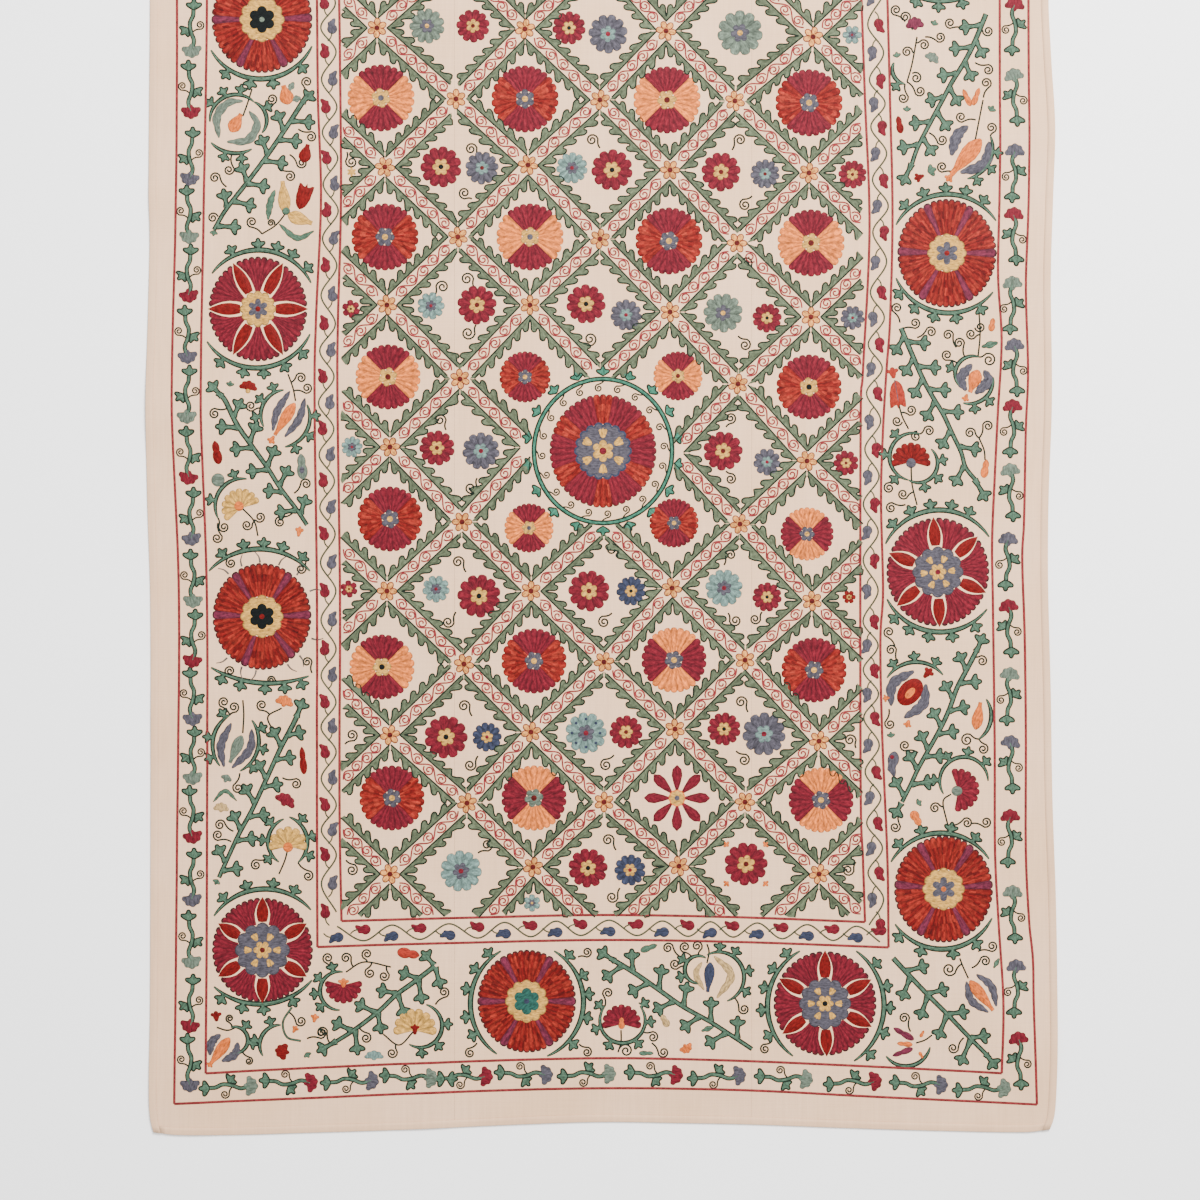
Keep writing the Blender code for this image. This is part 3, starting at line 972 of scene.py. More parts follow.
KNOT_STEP = (72, 69)
NEAR_KNOT = 100
BAND_HALF = 6.7

# A strip of leaves: its lobes' pitch, low and high reach, and one lobe's outline as shares of the
# pitch and of the reach. The bands cross a little off square, so a corner takes MITRE of its width.
MITRE = 1.04
LOBE_PITCH = 14.0
STRIP_LOW = 3.4
LOBE_HIGH = 9.2
LOBE_SHAPE = (
    (0.14, 0.10), (0.32, 0.34), (0.50, 0.68), (0.66, 0.94), (0.82, 1.02), (0.95, 0.92), (1.02, 0.68),
    (0.98, 0.44), (0.92, 0.22), (0.98, 0.02),
)
BARE_END = 6.0
LEAF_RISE = (0.42, 0.48, 0.42)
OUTLINE_HEIGHT = 0.60
OUTLINE_WIDTH = 1.75
BASE_STEPS = 24

# The running scroll: the length of its hollows, how far it swings, and its curls.
SCROLL_PITCH = 14.5
SCROLL_SWING = 4.4
SCROLL_WIDTH = 1.65
SCROLL_TURNS = 1.45
SCROLL_EYE = 0.9


def lattice_bands():
    """Pairs of knots joined by a band, and bands that the field's edge cuts short."""
    bands = []
    for row, following in zip(KNOT_ROWS[:-1], KNOT_ROWS[1:]):
        for a in row:
            near = [b for b in following if abs(a[0] - b[0]) < NEAR_KNOT]
            bands += [(a, b) if len(row) == 4 else (b, a) for b in near]
    for row in KNOT_ROWS:
        if len(row) == 4:
            for side, knot in ((-1, row[0]), (1, row[-1])):
                for up in (-1, 1):
                    bands.append((knot, (knot[0] + side * KNOT_STEP[0], knot[1] + up * KNOT_STEP[1])))
    return [(a, b) for a, b in bands if not (a in RING_KNOTS and b in RING_KNOTS)]


def field_share(a, b):
    """How much of the way from a to b lies inside the field, as a start and an end share."""
    low, high = 0.0, 1.0
    bounds = ((a[0], b[0], FIELD_LEFT, FIELD_RIGHT), (a[1], b[1], FIELD_TOP, FIELD_BOTTOM))
    for first, last, least, most in bounds:
        change = last - first
        if abs(change) < 1e-9:
            continue
        enter, leave = sorted(((least - first) / change, (most - first) / change))
        low, high = max(low, enter), min(high, leave)
    return low, high


def lobed_edge(length):
    """The outline of a strip of leaves: places along it and distances out, leaning forward."""
    count = max(2, round(length / LOBE_PITCH))
    pitch = (length - BARE_END) / count
    along = [0.0]
    out = [STRIP_LOW]
    for number in range(count):
        start = number * pitch
        tall = LOBE_HIGH * chance.uniform(0.9, 1.08)
        along += [start + share * pitch for share, _ in LOBE_SHAPE]
        out += [STRIP_LOW + (tall - STRIP_LOW) * rise for _, rise in LOBE_SHAPE]
    along.append(length)
    out.append(STRIP_LOW)
    return np.array(along), np.array(out)


def leaf_strip(piece, a, b, side):
    """The leafy strip along one side of a band. Its leaves lean from knot a toward knot b."""
    a, b = np.array(a, float), np.array(b, float)
    length = np.hypot(*(b - a))
    ahead = (b - a) / length
    across = side * np.array((-ahead[1], ahead[0]))
    corner = BAND_HALF * MITRE
    mitre = STRIP_LOW * MITRE
    along, out = lobed_edge(length - 2 * corner - 2 * mitre)
    outline = smooth_path(np.stack((corner + mitre + along, out), axis=1), 1.5)
    outline = np.vstack(((corner, 0.0), outline, (length - corner, 0.0)))
    share = np.concatenate(([0], np.cumsum(np.hypot(*np.diff(outline, axis=0).T))))
    base = corner + (length - 2 * corner) * share / share[-1]
    inner = np.stack((base, 0 * base), axis=1)
    for seam in FIELD_SEAMS:
        spot = a[0] + ahead[0] * outline[:, 0] + across[0] * (BAND_HALF + outline[:, 1])
        kept = abs(spot - seam) > SEAM_BARE
        outline, inner = outline[kept], inner[kept]

    def on_cloth(spots):
        return a + ahead * spots[:, :1] + across * (BAND_HALF + spots[:, 1:])

    outer, inner = on_cloth(outline), on_cloth(inner)
    low, high = np.array((FIELD_LEFT, FIELD_TOP)), np.array((FIELD_RIGHT, FIELD_BOTTOM))
    inside = np.all((outer > low) & (outer < high) & (inner > low) & (inner < high), axis=1)
    if inside.sum() < 6:
        return
    outer, inner = outer[inside], inner[inside]
    points = np.stack((inner, (outer + inner) / 2, outer), axis=1)
    rise = np.array(LEAF_RISE)[None]
    colour = np.array(FIELD_LEAF, float) * (1 + 0.06 * chance.uniform(-1, 1))
    run, _ = run_along(inner)
    aside = np.array([0.0, 3.0, 6.0])[None]
    piece.add(points[..., 0], points[..., 1], rise, colour, run[:, None], aside * PIXEL_MM)
    line(piece, outer[1:-1], OUTLINE_WIDTH, DARK, OUTLINE_HEIGHT)
    line(piece, inner[:: max(1, len(inner) // BASE_STEPS)], OUTLINE_WIDTH, DARK, OUTLINE_HEIGHT)


def scroll(piece, a, b):
    """The thin running scroll inside a band: a wave with a curl in each of its hollows."""
    a, b = np.array(a, float), np.array(b, float)
    length = np.hypot(*(b - a))
    ahead = (b - a) / length
    across = np.array((-ahead[1], ahead[0]))
    low, high = field_share(a, b)
    first, last = max(low * length + 5, 13), min(high * length - 4, length - 12)
    count = max(1, round((last - first) / SCROLL_PITCH))
    gap = (last - first) / count
    hand = 1 if chance.random() < 0.5 else -1

    def on_cloth(along, out):
        return a + ahead * np.asarray(along)[:, None] + across * np.asarray(out)[:, None]

    s = np.linspace(first, last, count * 8 + 1)
    wave = hand * SCROLL_SWING * np.sin(math.pi * (s - first) / gap)
    line(piece, on_cloth(s, wave), SCROLL_WIDTH, SCROLL)
    for number in range(count):
        side = -hand if number % 2 == 0 else hand
        middle = first + (number + 0.5) * gap
        t = np.linspace(0, 1, 17)
        turn = math.pi - 2 * math.pi * SCROLL_TURNS * t
        radius = (0.46 * min(gap, 11) - SCROLL_EYE) * (1 - t) ** 0.8 + SCROLL_EYE
        along = middle + 0.6 + radius * np.cos(turn) * (1 + 0.25 * (1 - t) ** 2)
        out = side * (0.7 + radius * np.sin(turn))
        line(piece, on_cloth(along, out), SCROLL_WIDTH, SCROLL)


KNOT_FILL = (182, 122, 62)
KNOT_EDGE = (92, 34, 24)
KNOT_PETAL_REACH = 6.3
KNOT_PETAL_SIZE = 3.7


def knot_flower(piece, x, y):
    """The small six-petalled flower where bands cross."""
    tilt = chance.uniform(0, 60)
    fill = np.array(KNOT_FILL) * chance.uniform(0.95, 1.05)
    for number in range(6):
        turn = math.radians(tilt + 60 * number)
        petal = polar(x, y, KNOT_PETAL_REACH, turn)
        blob(piece, *petal, math.degrees(turn), KNOT_PETAL_SIZE, ROUND, fill, KNOT_EDGE, rim=1.3,
             stretch=1.2, steps=20)
    blob(piece, x, y, 0, 4.4, ROUND, fill, fill, height=0.7, steps=16)
    blob(piece, x, y, 0, 2.7, ROUND, BROWN_RED, BROWN_RED, rim=0.6, height=0.9, steps=14,
         under=KNOT_TOP)


def make_lattice(material):
    """Bands of leaves and scrolls across the field, and the flowers on their knots."""
    leaves = Stitching("lattice_leaves")
    scrolls = Stitching("lattice_scrolls")
    for a, b in lattice_bands():
        for side in (-1, 1):
            leaf_strip(leaves, a, b, side)
        scroll(scrolls, a, b)
    flowers = Stitching("lattice_flowers")
    for row in KNOT_ROWS[1:-1]:
        for x, y in row:
            if (x, y) not in RING_KNOTS:
                knot_flower(flowers, x, y)
    return [piece.finish(material) for piece in (leaves, scrolls, flowers)]


# Large flowers of the field, in runs of one colouring: the colour above and below, the colour at
# the sides, the heart's colour, and the x, y and radius of each flower.
FieldFlowers = namedtuple("FieldFlowers", "ends sides heart places")

FIELD_FLOWERS = (
    FieldFlowers(CRIMSON, PEACH, YELLOW, (
        (381, 98, 34), (667, 100, 34), (530, 237, 34), (811, 243, 34), (388, 377, 33), (678, 376, 25),
        (529, 528, 25), (382, 667, 33))),
    FieldFlowers(PEACH, CRIMSON, BLUE, ((807, 534, 27), (674, 660, 33))),
    FieldFlowers(PEACH, CRIMSON, SAGE, ((534, 798, 33),)),
    FieldFlowers(PEACH, CRIMSON, BLUE, ((821, 800, 33),)),
    FieldFlowers(CRIMSON, RED, BLUE, (
        (525, 99, 34), (809, 103, 34), (385, 237, 34), (669, 241, 34), (525, 377, 26))),
    FieldFlowers(CRIMSON, RED, YELLOW, ((809, 387, 33),)),
    FieldFlowers(CRIMSON, RED, BLUE, (
        (390, 519, 33), (674, 523, 25), (534, 661, 33), (814, 670, 33), (392, 798, 33))),
)
HEART_DOTS = (BLACK, BLUE, BROWN_RED)
HEART_SHARE = 0.29
STAR_FLOWER = (677, 798)


def field_flower(piece, x, y, radius, colours):
    """A round flower of four sectors about a small heart."""
    heart = radius * HEART_SHARE
    sectors = (
        (45, 135, colours.ends, 7),
        (135, 225, colours.sides, 6),
        (225, 315, colours.ends, 7),
        (315, 405, colours.sides, 6),
    )
    for start, end, colour, count in sectors:
        other = ORANGE_RED if colour == RED else None
        edge = darker(colour, 0.85)
        petals(piece, x, y, heart - 1.5, radius, start, end, count, colour, edge, other=other)
    edge = darker(colours.heart)
    blob(piece, x, y, chance.uniform(0, 60), heart, SIX_PETALS_FULL, colours.heart, edge, rim=0.9,
         height=0.8, steps=48, under=PETAL_TOP)
    dot = YELLOW if colours.heart == BLUE else chance.choice(HEART_DOTS)
    blob(piece, x, y, 20, heart * 0.30, ROUND, dot, dot, rim=0.6, height=0.95, steps=20, under=RING_TOP)


# A star petal's half width along it, at shares of its length.
STAR_PLACES = (0, 0.25, 0.6, 0.85, 1)
STAR_WIDTHS = (0.2, 0.62, 1, 0.85, 0.1)


def star_flower(piece, x, y):
    """Eight separate petals about a yellow heart."""
    for number in range(8):
        turn = math.radians(45 * number)
        path = smooth_path((polar(x, y, 7, turn), polar(x, y, 33, turn)))
        half = 5.8 * np.interp(np.linspace(0, 1, len(path)), STAR_PLACES, STAR_WIDTHS)
        ribbon(piece, path, half, half, CRIMSON, darker(CRIMSON, 0.85))
    blob(piece, x, y, 0, 9.5, EIGHT_SCALLOPS, YELLOW, PEACH, height=0.8, steps=40)
    blob(piece, x, y, 0, 2.6, ROUND, BLUE, BLUE, rim=0.6, height=1.1, steps=14, under=RING_TOP)


# Small flowers of the field: x, y, radius and colour.
SMALL_FLOWERS = (
    (427, 26, 18, SAGE), (473, 26, 17, CRIMSON), (569, 28, 17, CRIMSON), (608, 34, 20, BLUE),
    (740, 33, 23, SAGE), (852, 35, 10, TURQUOISE), (441, 167, 21, CRIMSON), (482, 168, 17, BLUE),
    (572, 168, 16, TURQUOISE), (612, 170, 21, CRIMSON), (721, 172, 20, CRIMSON),
    (765, 174, 15, BLUE), (852.5, 174.5, 14.5, CRIMSON), (351, 309, 9.5, CRIMSON),
    (431, 306, 14, TURQUOISE), (477, 305, 20, CRIMSON), (586, 304, 20, CRIMSON),
    (626, 315, 16, BLUE), (723, 313, 20, SAGE), (767, 318, 15, CRIMSON), (852.5, 317.8, 12.5, BLUE),
    (352, 447, 11, TURQUOISE), (437, 448, 18, CRIMSON), (481, 451, 19, BLUE),
    (723, 451, 20, CRIMSON), (767, 462, 14, BLUE), (846, 463, 13, CRIMSON), (349, 589, 9, CRIMSON),
    (436, 589, 14, TURQUOISE), (479, 596, 22, CRIMSON), (589, 591, 21, CRIMSON),
    (631, 591, 15, NAVY), (724, 588, 19, TURQUOISE), (767, 597, 15, CRIMSON), (849, 597, 7, RED),
    (446, 737, 22, CRIMSON), (487, 737, 15, NAVY), (586, 733, 21, TURQUOISE),
    (626, 732, 17, CRIMSON), (724, 729, 17, CRIMSON), (764, 734, 22, BLUE),
    (461, 871, 21, TURQUOISE), (532, 903, 9, TURQUOISE), (588, 868, 20, CRIMSON),
    (630, 870, 16, NAVY), (746, 864, 22, CRIMSON),
)

# Heart and dots of a small flower by the colour of its petals.
SMALL_HEARTS = {
    CRIMSON: (YELLOW, (BLACK, BROWN_RED)),
    RED: (YELLOW, (BROWN_RED,)),
    BLUE: (TURQUOISE, (CRIMSON, BROWN_RED)),
    NAVY: (YELLOW, (BLACK, CRIMSON)),
    TURQUOISE: (BLUE, (YELLOW, CRIMSON)),
    SAGE: (BLUE, (CRIMSON, YELLOW)),
}


def small_flower(piece, x, y, radius, colour):
    """A round flower with a smaller one in its middle and a dot in that."""
    count = 11 if radius > 14 else 9 if radius > 10 else 6
    turn = chance.uniform(0, 30)
    petals(piece, x, y, radius * 0.25, radius, turn, turn + 360, count, colour, darker(colour), rim=0.7)
    heart, dots = SMALL_HEARTS[colour]
    blob(piece, x, y, turn, radius * 0.41, SIX_PETALS_FULL, heart, darker(heart, 0.85), rim=0.7,
         height=0.8, steps=48, under=PETAL_TOP)
    dot = chance.choice(dots)
    blob(piece, x, y, 0, max(1.2, radius * 0.12), ROUND, dot, dot, rim=0.5, height=1.1, steps=12,
         under=RING_TOP)


def snowflake(piece, x, y, reach, turned=30):
    """A six-pointed yellow star with six forked tufts about it."""
    edge = darker(YELLOW, 0.9)
    blob(piece, x, y, turned, reach * 0.50, SIX_PETALS_FULL, YELLOW, edge, rim=0.6, height=1.0,
         steps=48, under=RING_TOP)
    for number in range(6):
        turn = math.radians(turned + 60 * number)
        spot = polar(x, y, 0.78 * reach, turn)
        blob(piece, *spot, math.degrees(turn), reach * 0.27, TUFT, YELLOW, edge, rim=0.5, height=1.0,
             steps=36, under=RING_TOP)


# The medallion: its middle, the inner and outer radius of its petals, and their wide and tall share.
MEDALLION = (603, 451)
MEDALLION_PETALS = (26, 55)
MEDALLION_WIDE = 0.98
MEDALLION_TALL = 1.04
RED_HALF_TURN = 11
CRIMSON_END_TURN = 49
MEDALLION_RING = (69, 72)
MEDALLION_GREEN = (46, 92, 74)


def medallion(piece, leaves):
    """The large flower in the middle of the field and the leafy ring about it."""
    x, y = MEDALLION
    shape = {"wide": MEDALLION_WIDE, "tall": MEDALLION_TALL}
    for number in range(6):
        middle = 30 + 60 * number
        turns = (middle - RED_HALF_TURN, middle + RED_HALF_TURN, middle + CRIMSON_END_TURN)
        petals(piece, x, y, *MEDALLION_PETALS, *turns[:2], 3, RED, SCALLOP, other=ORANGE_RED, **shape)
        petals(piece, x, y, *MEDALLION_PETALS, *turns[1:], 5, CRIMSON, SCALLOP, **shape)
    blob(piece, x, y, 0, 29, scallops(18), BLUE, NAVY, height=0.8, steps=108, under=PETAL_TOP)
    snowflake(piece, x, y, 22)
    blob(piece, x, y, 0, 3.6, ROUND, CRIMSON, BROWN_RED, rim=0.8, height=1.2, steps=18, under=HEART_TOP)
    medallion_ring(leaves, x, y)


def on_oval(x, y, wide, tall, turn):
    """The pixel of an oval about a middle, in a direction anticlockwise from the right."""
    return x + wide * np.cos(turn), y - tall * np.sin(turn)


def medallion_ring(piece, x, y):
    """The green ring about the medallion, with leaves outside it and tendrils inside."""
    angle = np.linspace(0, 2 * math.pi, 180)
    ring = np.stack(on_oval(x, y, *MEDALLION_RING, angle), axis=1)
    ribbon(piece, ring, 3.0, 3.0, MEDALLION_GREEN, DARK)
    for number in range(18):
        turn = math.radians(10 + 20 * number)
        spot = polar(*on_oval(x, y, *MEDALLION_RING, turn), 6.0, turn)
        blob(piece, *spot, math.degrees(turn), 7.6, LEAF_HEAD, MEDALLION_GREEN, DARK, steps=54)
    for number in range(20):
        turn = math.radians(4 + 18 * number)
        foot = on_oval(x, y, *MEDALLION_RING, turn - 0.10)
        curl(piece, *on_oval(x, y, 61, 63, turn), 3.9, foot, 1.6, turns=1.35)


# Tendrils: middle, radius, the point each one starts from, and the hand it winds to.
Curl = namedtuple("Curl", "x y radius start_x start_y hand")

FIELD_CURLS = (
    Curl(471, 149, 6, 479, 157, 1),
    Curl(464.5, 193, 6, 472, 199, -1),
    Curl(351.6, 162, 6, 347, 152, 1),
    Curl(442.6, 287, 6.5, 435, 295, -1),
    Curl(467, 279, 6.5, 474, 287, 1),
    Curl(468, 333, 7, 476, 325, -1),
    Curl(590, 339, 7, 582, 345, 1),
    Curl(746, 263, 6, 752, 268, 1),
    Curl(730.6, 418, 5.5, 726, 427, 1),
    Curl(730.6, 479, 5.5, 726, 471, -1),
    Curl(470.7, 488, 6.5, 477, 478, -1),
    Curl(612, 549.5, 6.5, 618, 557, 1),
    Curl(730.6, 555, 5.5, 724, 565, -1),
    Curl(735.5, 620.5, 6, 728, 613, 1),
    Curl(755, 619, 5.5, 762, 612, -1),
    Curl(592, 140, 6, 600, 148, 1),
    Curl(740, 140, 6, 732, 150, -1),
    Curl(745, 205, 6, 752, 196, 1),
    Curl(745, 345, 6, 738, 336, -1),
    Curl(440, 420, 6, 446, 430, 1),
    Curl(458, 562, 6, 466, 572, 1),
    Curl(448, 622, 6, 456, 612, -1),
    Curl(604, 622, 6, 612, 613, 1),
    Curl(464, 706, 6, 472, 716, 1),
    Curl(470, 765, 6, 478, 756, -1),
    Curl(606, 765, 6, 614, 755, 1),
    Curl(741, 702, 6, 748, 712, 1),
    Curl(744, 760, 6, 736, 751, -1),
    Curl(487, 845, 6, 478, 853, 1),
    Curl(608, 840, 6, 616, 850, 1),
    Curl(612, 897, 6, 620, 888, -1),
    Curl(352, 735, 6, 345, 744, 1),
    Curl(352, 870, 6, 346, 860, -1),
    Curl(850, 740, 6, 856, 748, 1),
    Curl(848, 870, 6, 856, 862, -1),
)


# Dots on one flower and buds about another: middle, distance out, how many and their size. Then a
# lone pale bud: middle and size.
DOT_RING = (586, 733, 14, 8, 1.5)
BUD_RING = (746, 864, 27, 4, 4.2)
PALE_BUD = (351.6, 172, 5.0)


def tendrils(piece, rows):
    """The tendrils of a table."""
    for row in rows:
        curl(piece, row.x, row.y, row.radius, (row.start_x, row.start_y), hand=row.hand)


def ring_of(piece, row, lobes, colour):
    """Small shapes at even steps about a flower."""
    x, y, distance, count, size = row
    for number in range(count):
        turn = math.radians(45 + 360 / count * number)
        spot = polar(x, y, distance, turn)
        blob(piece, *spot, math.degrees(turn), size, lobes, colour, darker(colour), rim=0.6,
             height=0.95, steps=20, under=PETAL_TOP if lobes is ROUND else FOOT)


def make_field(material):
    """Flowers of the field and the medallion in its middle."""
    large = Stitching("field_flowers")
    for colours in FIELD_FLOWERS:
        for x, y, radius in colours.places:
            field_flower(large, x, y, radius, colours)
    star_flower(large, *STAR_FLOWER)
    small = Stitching("small_flowers")
    for x, y, radius, colour in SMALL_FLOWERS:
        small_flower(small, x, y, radius, colour)
    tendrils(small, FIELD_CURLS)
    ring_of(small, DOT_RING, ROUND, NAVY)
    ring_of(small, BUD_RING, TREFOIL, ORANGE)
    blob(small, *PALE_BUD[:2], 90, PALE_BUD[2], SIX_STAR, YELLOW, YELLOW, rim=0.7, steps=36)
    centre = Stitching("medallion")
    ring = Stitching("medallion_ring")
    medallion(centre, ring)
    return [piece.finish(material) for piece in (large, small, centre, ring)]


# Large flowers of the main border. A red one has purple stripes at the given headings, a sector one
# has almonds there. ring and heart are the radii of the ring and of the shape in it, in their
# colours, and dot is the colour in the middle.
BorderFlower = namedtuple(
    "BorderFlower", "x y wide tall kind headings ring ring_colour heart heart_colour dot")

LEFT_AND_RIGHT_FLOWERS = (
    BorderFlower(262, 19.6, 51, 54, "red", (60, 118, 180, -118, -62, 2), 22, YELLOW, 11, BLACK, SAGE),
    BorderFlower(258, 309, 50, 53, "sector", (0, 60, 120, 180, 240, 300), 17.5, YELLOW, 8.5, BLUE, RED),
    BorderFlower(262, 616.5, 50, 54, "red", (55, 125, 178, 2, -50, -112), 21, YELLOW, 10.5, BLACK, RED),
    BorderFlower(262.5, 950, 51, 53, "sector", (30, 90, 150, 210, 270, 330), 27, BLUE, 18, YELLOW, BROWN_RED),
    BorderFlower(946.7, 253.3, 50, 55, "red", (60, 115, 178, -122, -60, 0), 19, YELLOW, 9.5, BLUE, RED),
    BorderFlower(937.8, 572, 52, 55, "sector", (95, 40, -22, -88, -142, 160), 25, BLUE, 17, YELLOW, CRIMSON),
    BorderFlower(943.5, 889, 50, 54, "red", (55, 120, 175, -120, -60, 5), 20.7, YELLOW, 10, BLUE, ORANGE),
)
END_FLOWERS = (
    BorderFlower(526.7, 1001.2, 50, 52, "red", (60, 120, 180, 240, 300, 0), 21, YELLOW, 11, TEAL, NAVY),
    BorderFlower(825, 1003.5, 52, 53, "sector", (90, 27, -26, -88, -145, 152), 25.5, BLUE, 17, YELLOW, BLACK),
)
TURNED_SIDE_FLOWERS = (
    BorderFlower(262.5, 958, 51, 53, "sector", (30, 90, 150, 210, 270, 330), 27, BLUE, 18, YELLOW, BROWN_RED),
)


# The width of the outline at the petals' tips, half of a stripe's turn, and the turn of one petal
# between stripes and between almonds, in degrees. Then an almond's half width, the bare cloth
# about it, and how much larger a heart is drawn than its radius in the table.
TIP = 1.8
STRIPE_TURN = 5
RED_PETAL_TURN = 7.6
SECTOR_PETAL_TURN = 8.5
ALMOND_HALF = 6.2
ALMOND_CLEARANCE = 1.9
HEART_SCALE = 1.25


def striped_petals(piece, flower, turns):
    """Petals of mixed reds between narrow purple stripes."""
    shape = {"tall": flower.tall / flower.wide, "rim": TIP}
    span = (flower.x, flower.y, flower.ring - 2, flower.wide)
    for low, high in zip(turns[:-1], turns[1:]):
        petals(piece, *span, low - STRIPE_TURN, low + STRIPE_TURN, 1, PURPLE, SCALLOP, **shape)
        count = max(1, round((high - low - 2 * STRIPE_TURN) / RED_PETAL_TURN))
        petals(piece, *span, low + STRIPE_TURN, high - STRIPE_TURN, count, DEEP_RED, SCALLOP, vary=0.12,
               other=WARM_RED, **shape)


def almond_petals(piece, flower, turns):
    """Crimson petals that leave room for a pointed red almond at each heading."""
    x, y, outer = flower.x, flower.y, flower.wide
    tall = flower.tall / flower.wide

    def almond_half(radius):
        share = np.clip((radius - flower.ring) / (outer - flower.ring), 0.0, 1.0)
        return ALMOND_HALF * np.sin((0.22 + 0.78 * share) * math.pi) ** 0.85

    def bare(radius):
        return np.degrees((almond_half(radius) + ALMOND_CLEARANCE) / radius)

    for low, high in zip(turns[:-1], turns[1:]):
        count = max(3, round((high - low) / SECTOR_PETAL_TURN))
        petals(piece, x, y, flower.ring - 2, outer, low, high, count, CRIMSON, SCALLOP, tall=tall,
               trim=bare, rim=TIP)
        turn = math.radians(low)
        foot = on_oval(x, y, flower.ring, tall * flower.ring, turn)
        path = smooth_path((foot, on_oval(x, y, outer, tall * outer, turn)), 1.4)
        half = np.maximum(almond_half(np.linspace(flower.ring, outer, len(path))), 0.3)
        ribbon(piece, path, half, half, RED, DEEP_RED, rim=0.7)


def border_flower(piece, flower):
    """One of the large round flowers of the main border."""
    x, y = flower.x, flower.y
    turns = sorted(value % 360 for value in flower.headings)
    turns.append(turns[0] + 360)
    build_petals = striped_petals if flower.kind == "red" else almond_petals
    build_petals(piece, flower, turns)
    blob(piece, x, y, 0, flower.ring + 0.6, TWELVE_SCALLOPS, flower.ring_colour,
         darker(flower.ring_colour, 0.72), rim=0.9, height=0.8, steps=96, under=PETAL_TOP)
    if flower.ring_colour == BLUE:
        snowflake(piece, x, y, flower.heart, flower.headings[0] + 30)
    else:
        colour = flower.heart_colour
        lobes = SIX_PETALS if colour in (BLACK, TEAL) else SIX_STAR
        blob(piece, x, y, 30, flower.heart * HEART_SCALE, lobes, colour, colour, rim=0.7, height=1.0,
             steps=48, under=RING_TOP)
    blob(piece, x, y, 0, 2.6, ROUND, flower.dot, flower.dot, rim=0.7, height=1.2, steps=14,
         under=HEART_TOP)


# The flower with short strokes about it, how far out they start, and their headings.
HOOKED_FLOWER = (262, 616.5)
HOOK_START = 54
HOOK_HEADINGS = (128, 112, 92, 72, 50, 28, -24, -46, -62, -96, -112, -130)


def hooks(piece, x, y):
    """Short curved strokes about a flower."""
    for number, degrees in enumerate(HOOK_HEADINGS):
        turn = math.radians(degrees)
        aim = np.array((math.cos(turn), -math.sin(turn)))
        side = np.array((-aim[1], aim[0])) * (1 if number % 2 else -1)
        foot = np.array((x, y)) + aim * HOOK_START
        path = smooth_path((foot, foot + aim * 6 + side * 1.2, foot + aim * 11 + side * 5), 1.2)
        width = np.linspace(2.2, 0.9, len(path))
        line(piece, path, width, GREY)


def make_border_flowers(material):
    """All large flowers of the main border, and their repeat at the far end."""
    piece = Stitching("border_flowers")
    for flower in LEFT_AND_RIGHT_FLOWERS + END_FLOWERS:
        border_flower(piece, flower)
    hooks(piece, *HOOKED_FLOWER)
    piece.turned = True
    for flower in END_FLOWERS + TURNED_SIDE_FLOWERS:
        border_flower(piece, flower)
    return piece.finish(material)


# Leafy arcs about the large border flowers: both ends, the top of the arc and the leaf heads.
Wreath = namedtuple("Wreath", "start through end heads")

SIDE_WREATHS = (
    Wreath((211, -11), (262, -40), (312, -8), ((222, -34), (243, -46), (268, -47), (294, -38))),
    Wreath((211, 50), (262, 79), (312, 46), ((225, 75), (250, 85), (273, 83), (303, 69))),
    Wreath((212, 273.5), (258, 250), (311, 283),
           ((229, 247), (258, 240), (279, 241), (295, 251), (309, 267))),
    Wreath((207, 341.5), (258, 368), (310, 334),
           ((220, 363), (243, 374), (264, 375), (286, 368), (303, 354))),
    Wreath((209, 571), (262, 549), (310, 571),
           ((223, 556), (243, 541), (264, 538), (285, 541), (305, 554))),
    Wreath((211, 667.5), (262, 683), (309, 676),
           ((221, 681), (239, 691), (265, 692), (285, 690), (302, 684))),
    Wreath((214, 916), (262, 889), (311, 910), ((222, 896.5), (245, 882), (274, 878), (299, 882))),
    Wreath((214, 986.5), (262, 1004), (312, 980),
           ((220, 1001), (242, 1010), (264, 1012.5), (296, 1006))),
    Wreath((896, 225), (946, 194.3), (996, 221),
           ((905, 205.5), (924, 195), (945.5, 188), (966, 190), (985, 199))),
    Wreath((896, 278), (947, 313), (993, 292),
           ((899.5, 293.5), (915, 308), (934, 317), (956, 318), (981, 309))),
    Wreath((885.5, 544), (938, 510), (989, 537),
           ((891, 522), (909, 508), (930, 502), (952, 503), (970, 510.5))),
    Wreath((887, 599), (938, 632), (987, 609),
           ((894, 619), (907, 633), (928, 639.5), (953, 641), (977, 629))),
    Wreath((891, 862), (941, 833), (989, 859), ((897, 842), (921, 830), (951, 828), (977, 836))),
    Wreath((895, 924), (943, 949), (992, 918), ((898, 938), (920, 954), (953, 954), (978, 946))),
)
END_WREATHS = (
    Wreath((501, 951), (470.5, 1001), (497, 1054),
           ((486, 951), (472, 967), (465, 988.5), (466, 1017), (471, 1036))),
    Wreath((554, 951), (583.5, 1001), (547, 1056),
           ((572, 952), (588, 972.5), (589, 994), (588, 1018), (574, 1045))),
    Wreath((800, 951), (767.5, 1003), (793, 1056),
           ((786, 953), (770, 967), (762, 987), (762, 1010), (768, 1036))),
    Wreath((856, 951), (884, 1003), (854, 1061),
           ((877, 963), (887, 986), (893, 1008), (888, 1034.5), (873, 1057))),
)
TURNED_SIDE_WREATHS = (
    Wreath((310, 925), (262, 905), (214, 925),
           ((289, 898), (265, 895), (240, 898), (309, 911), (219, 909))),
    Wreath((214, 993), (262, 1014), (312, 987), ((242, 1018), (268, 1020), (298, 1008))),
)

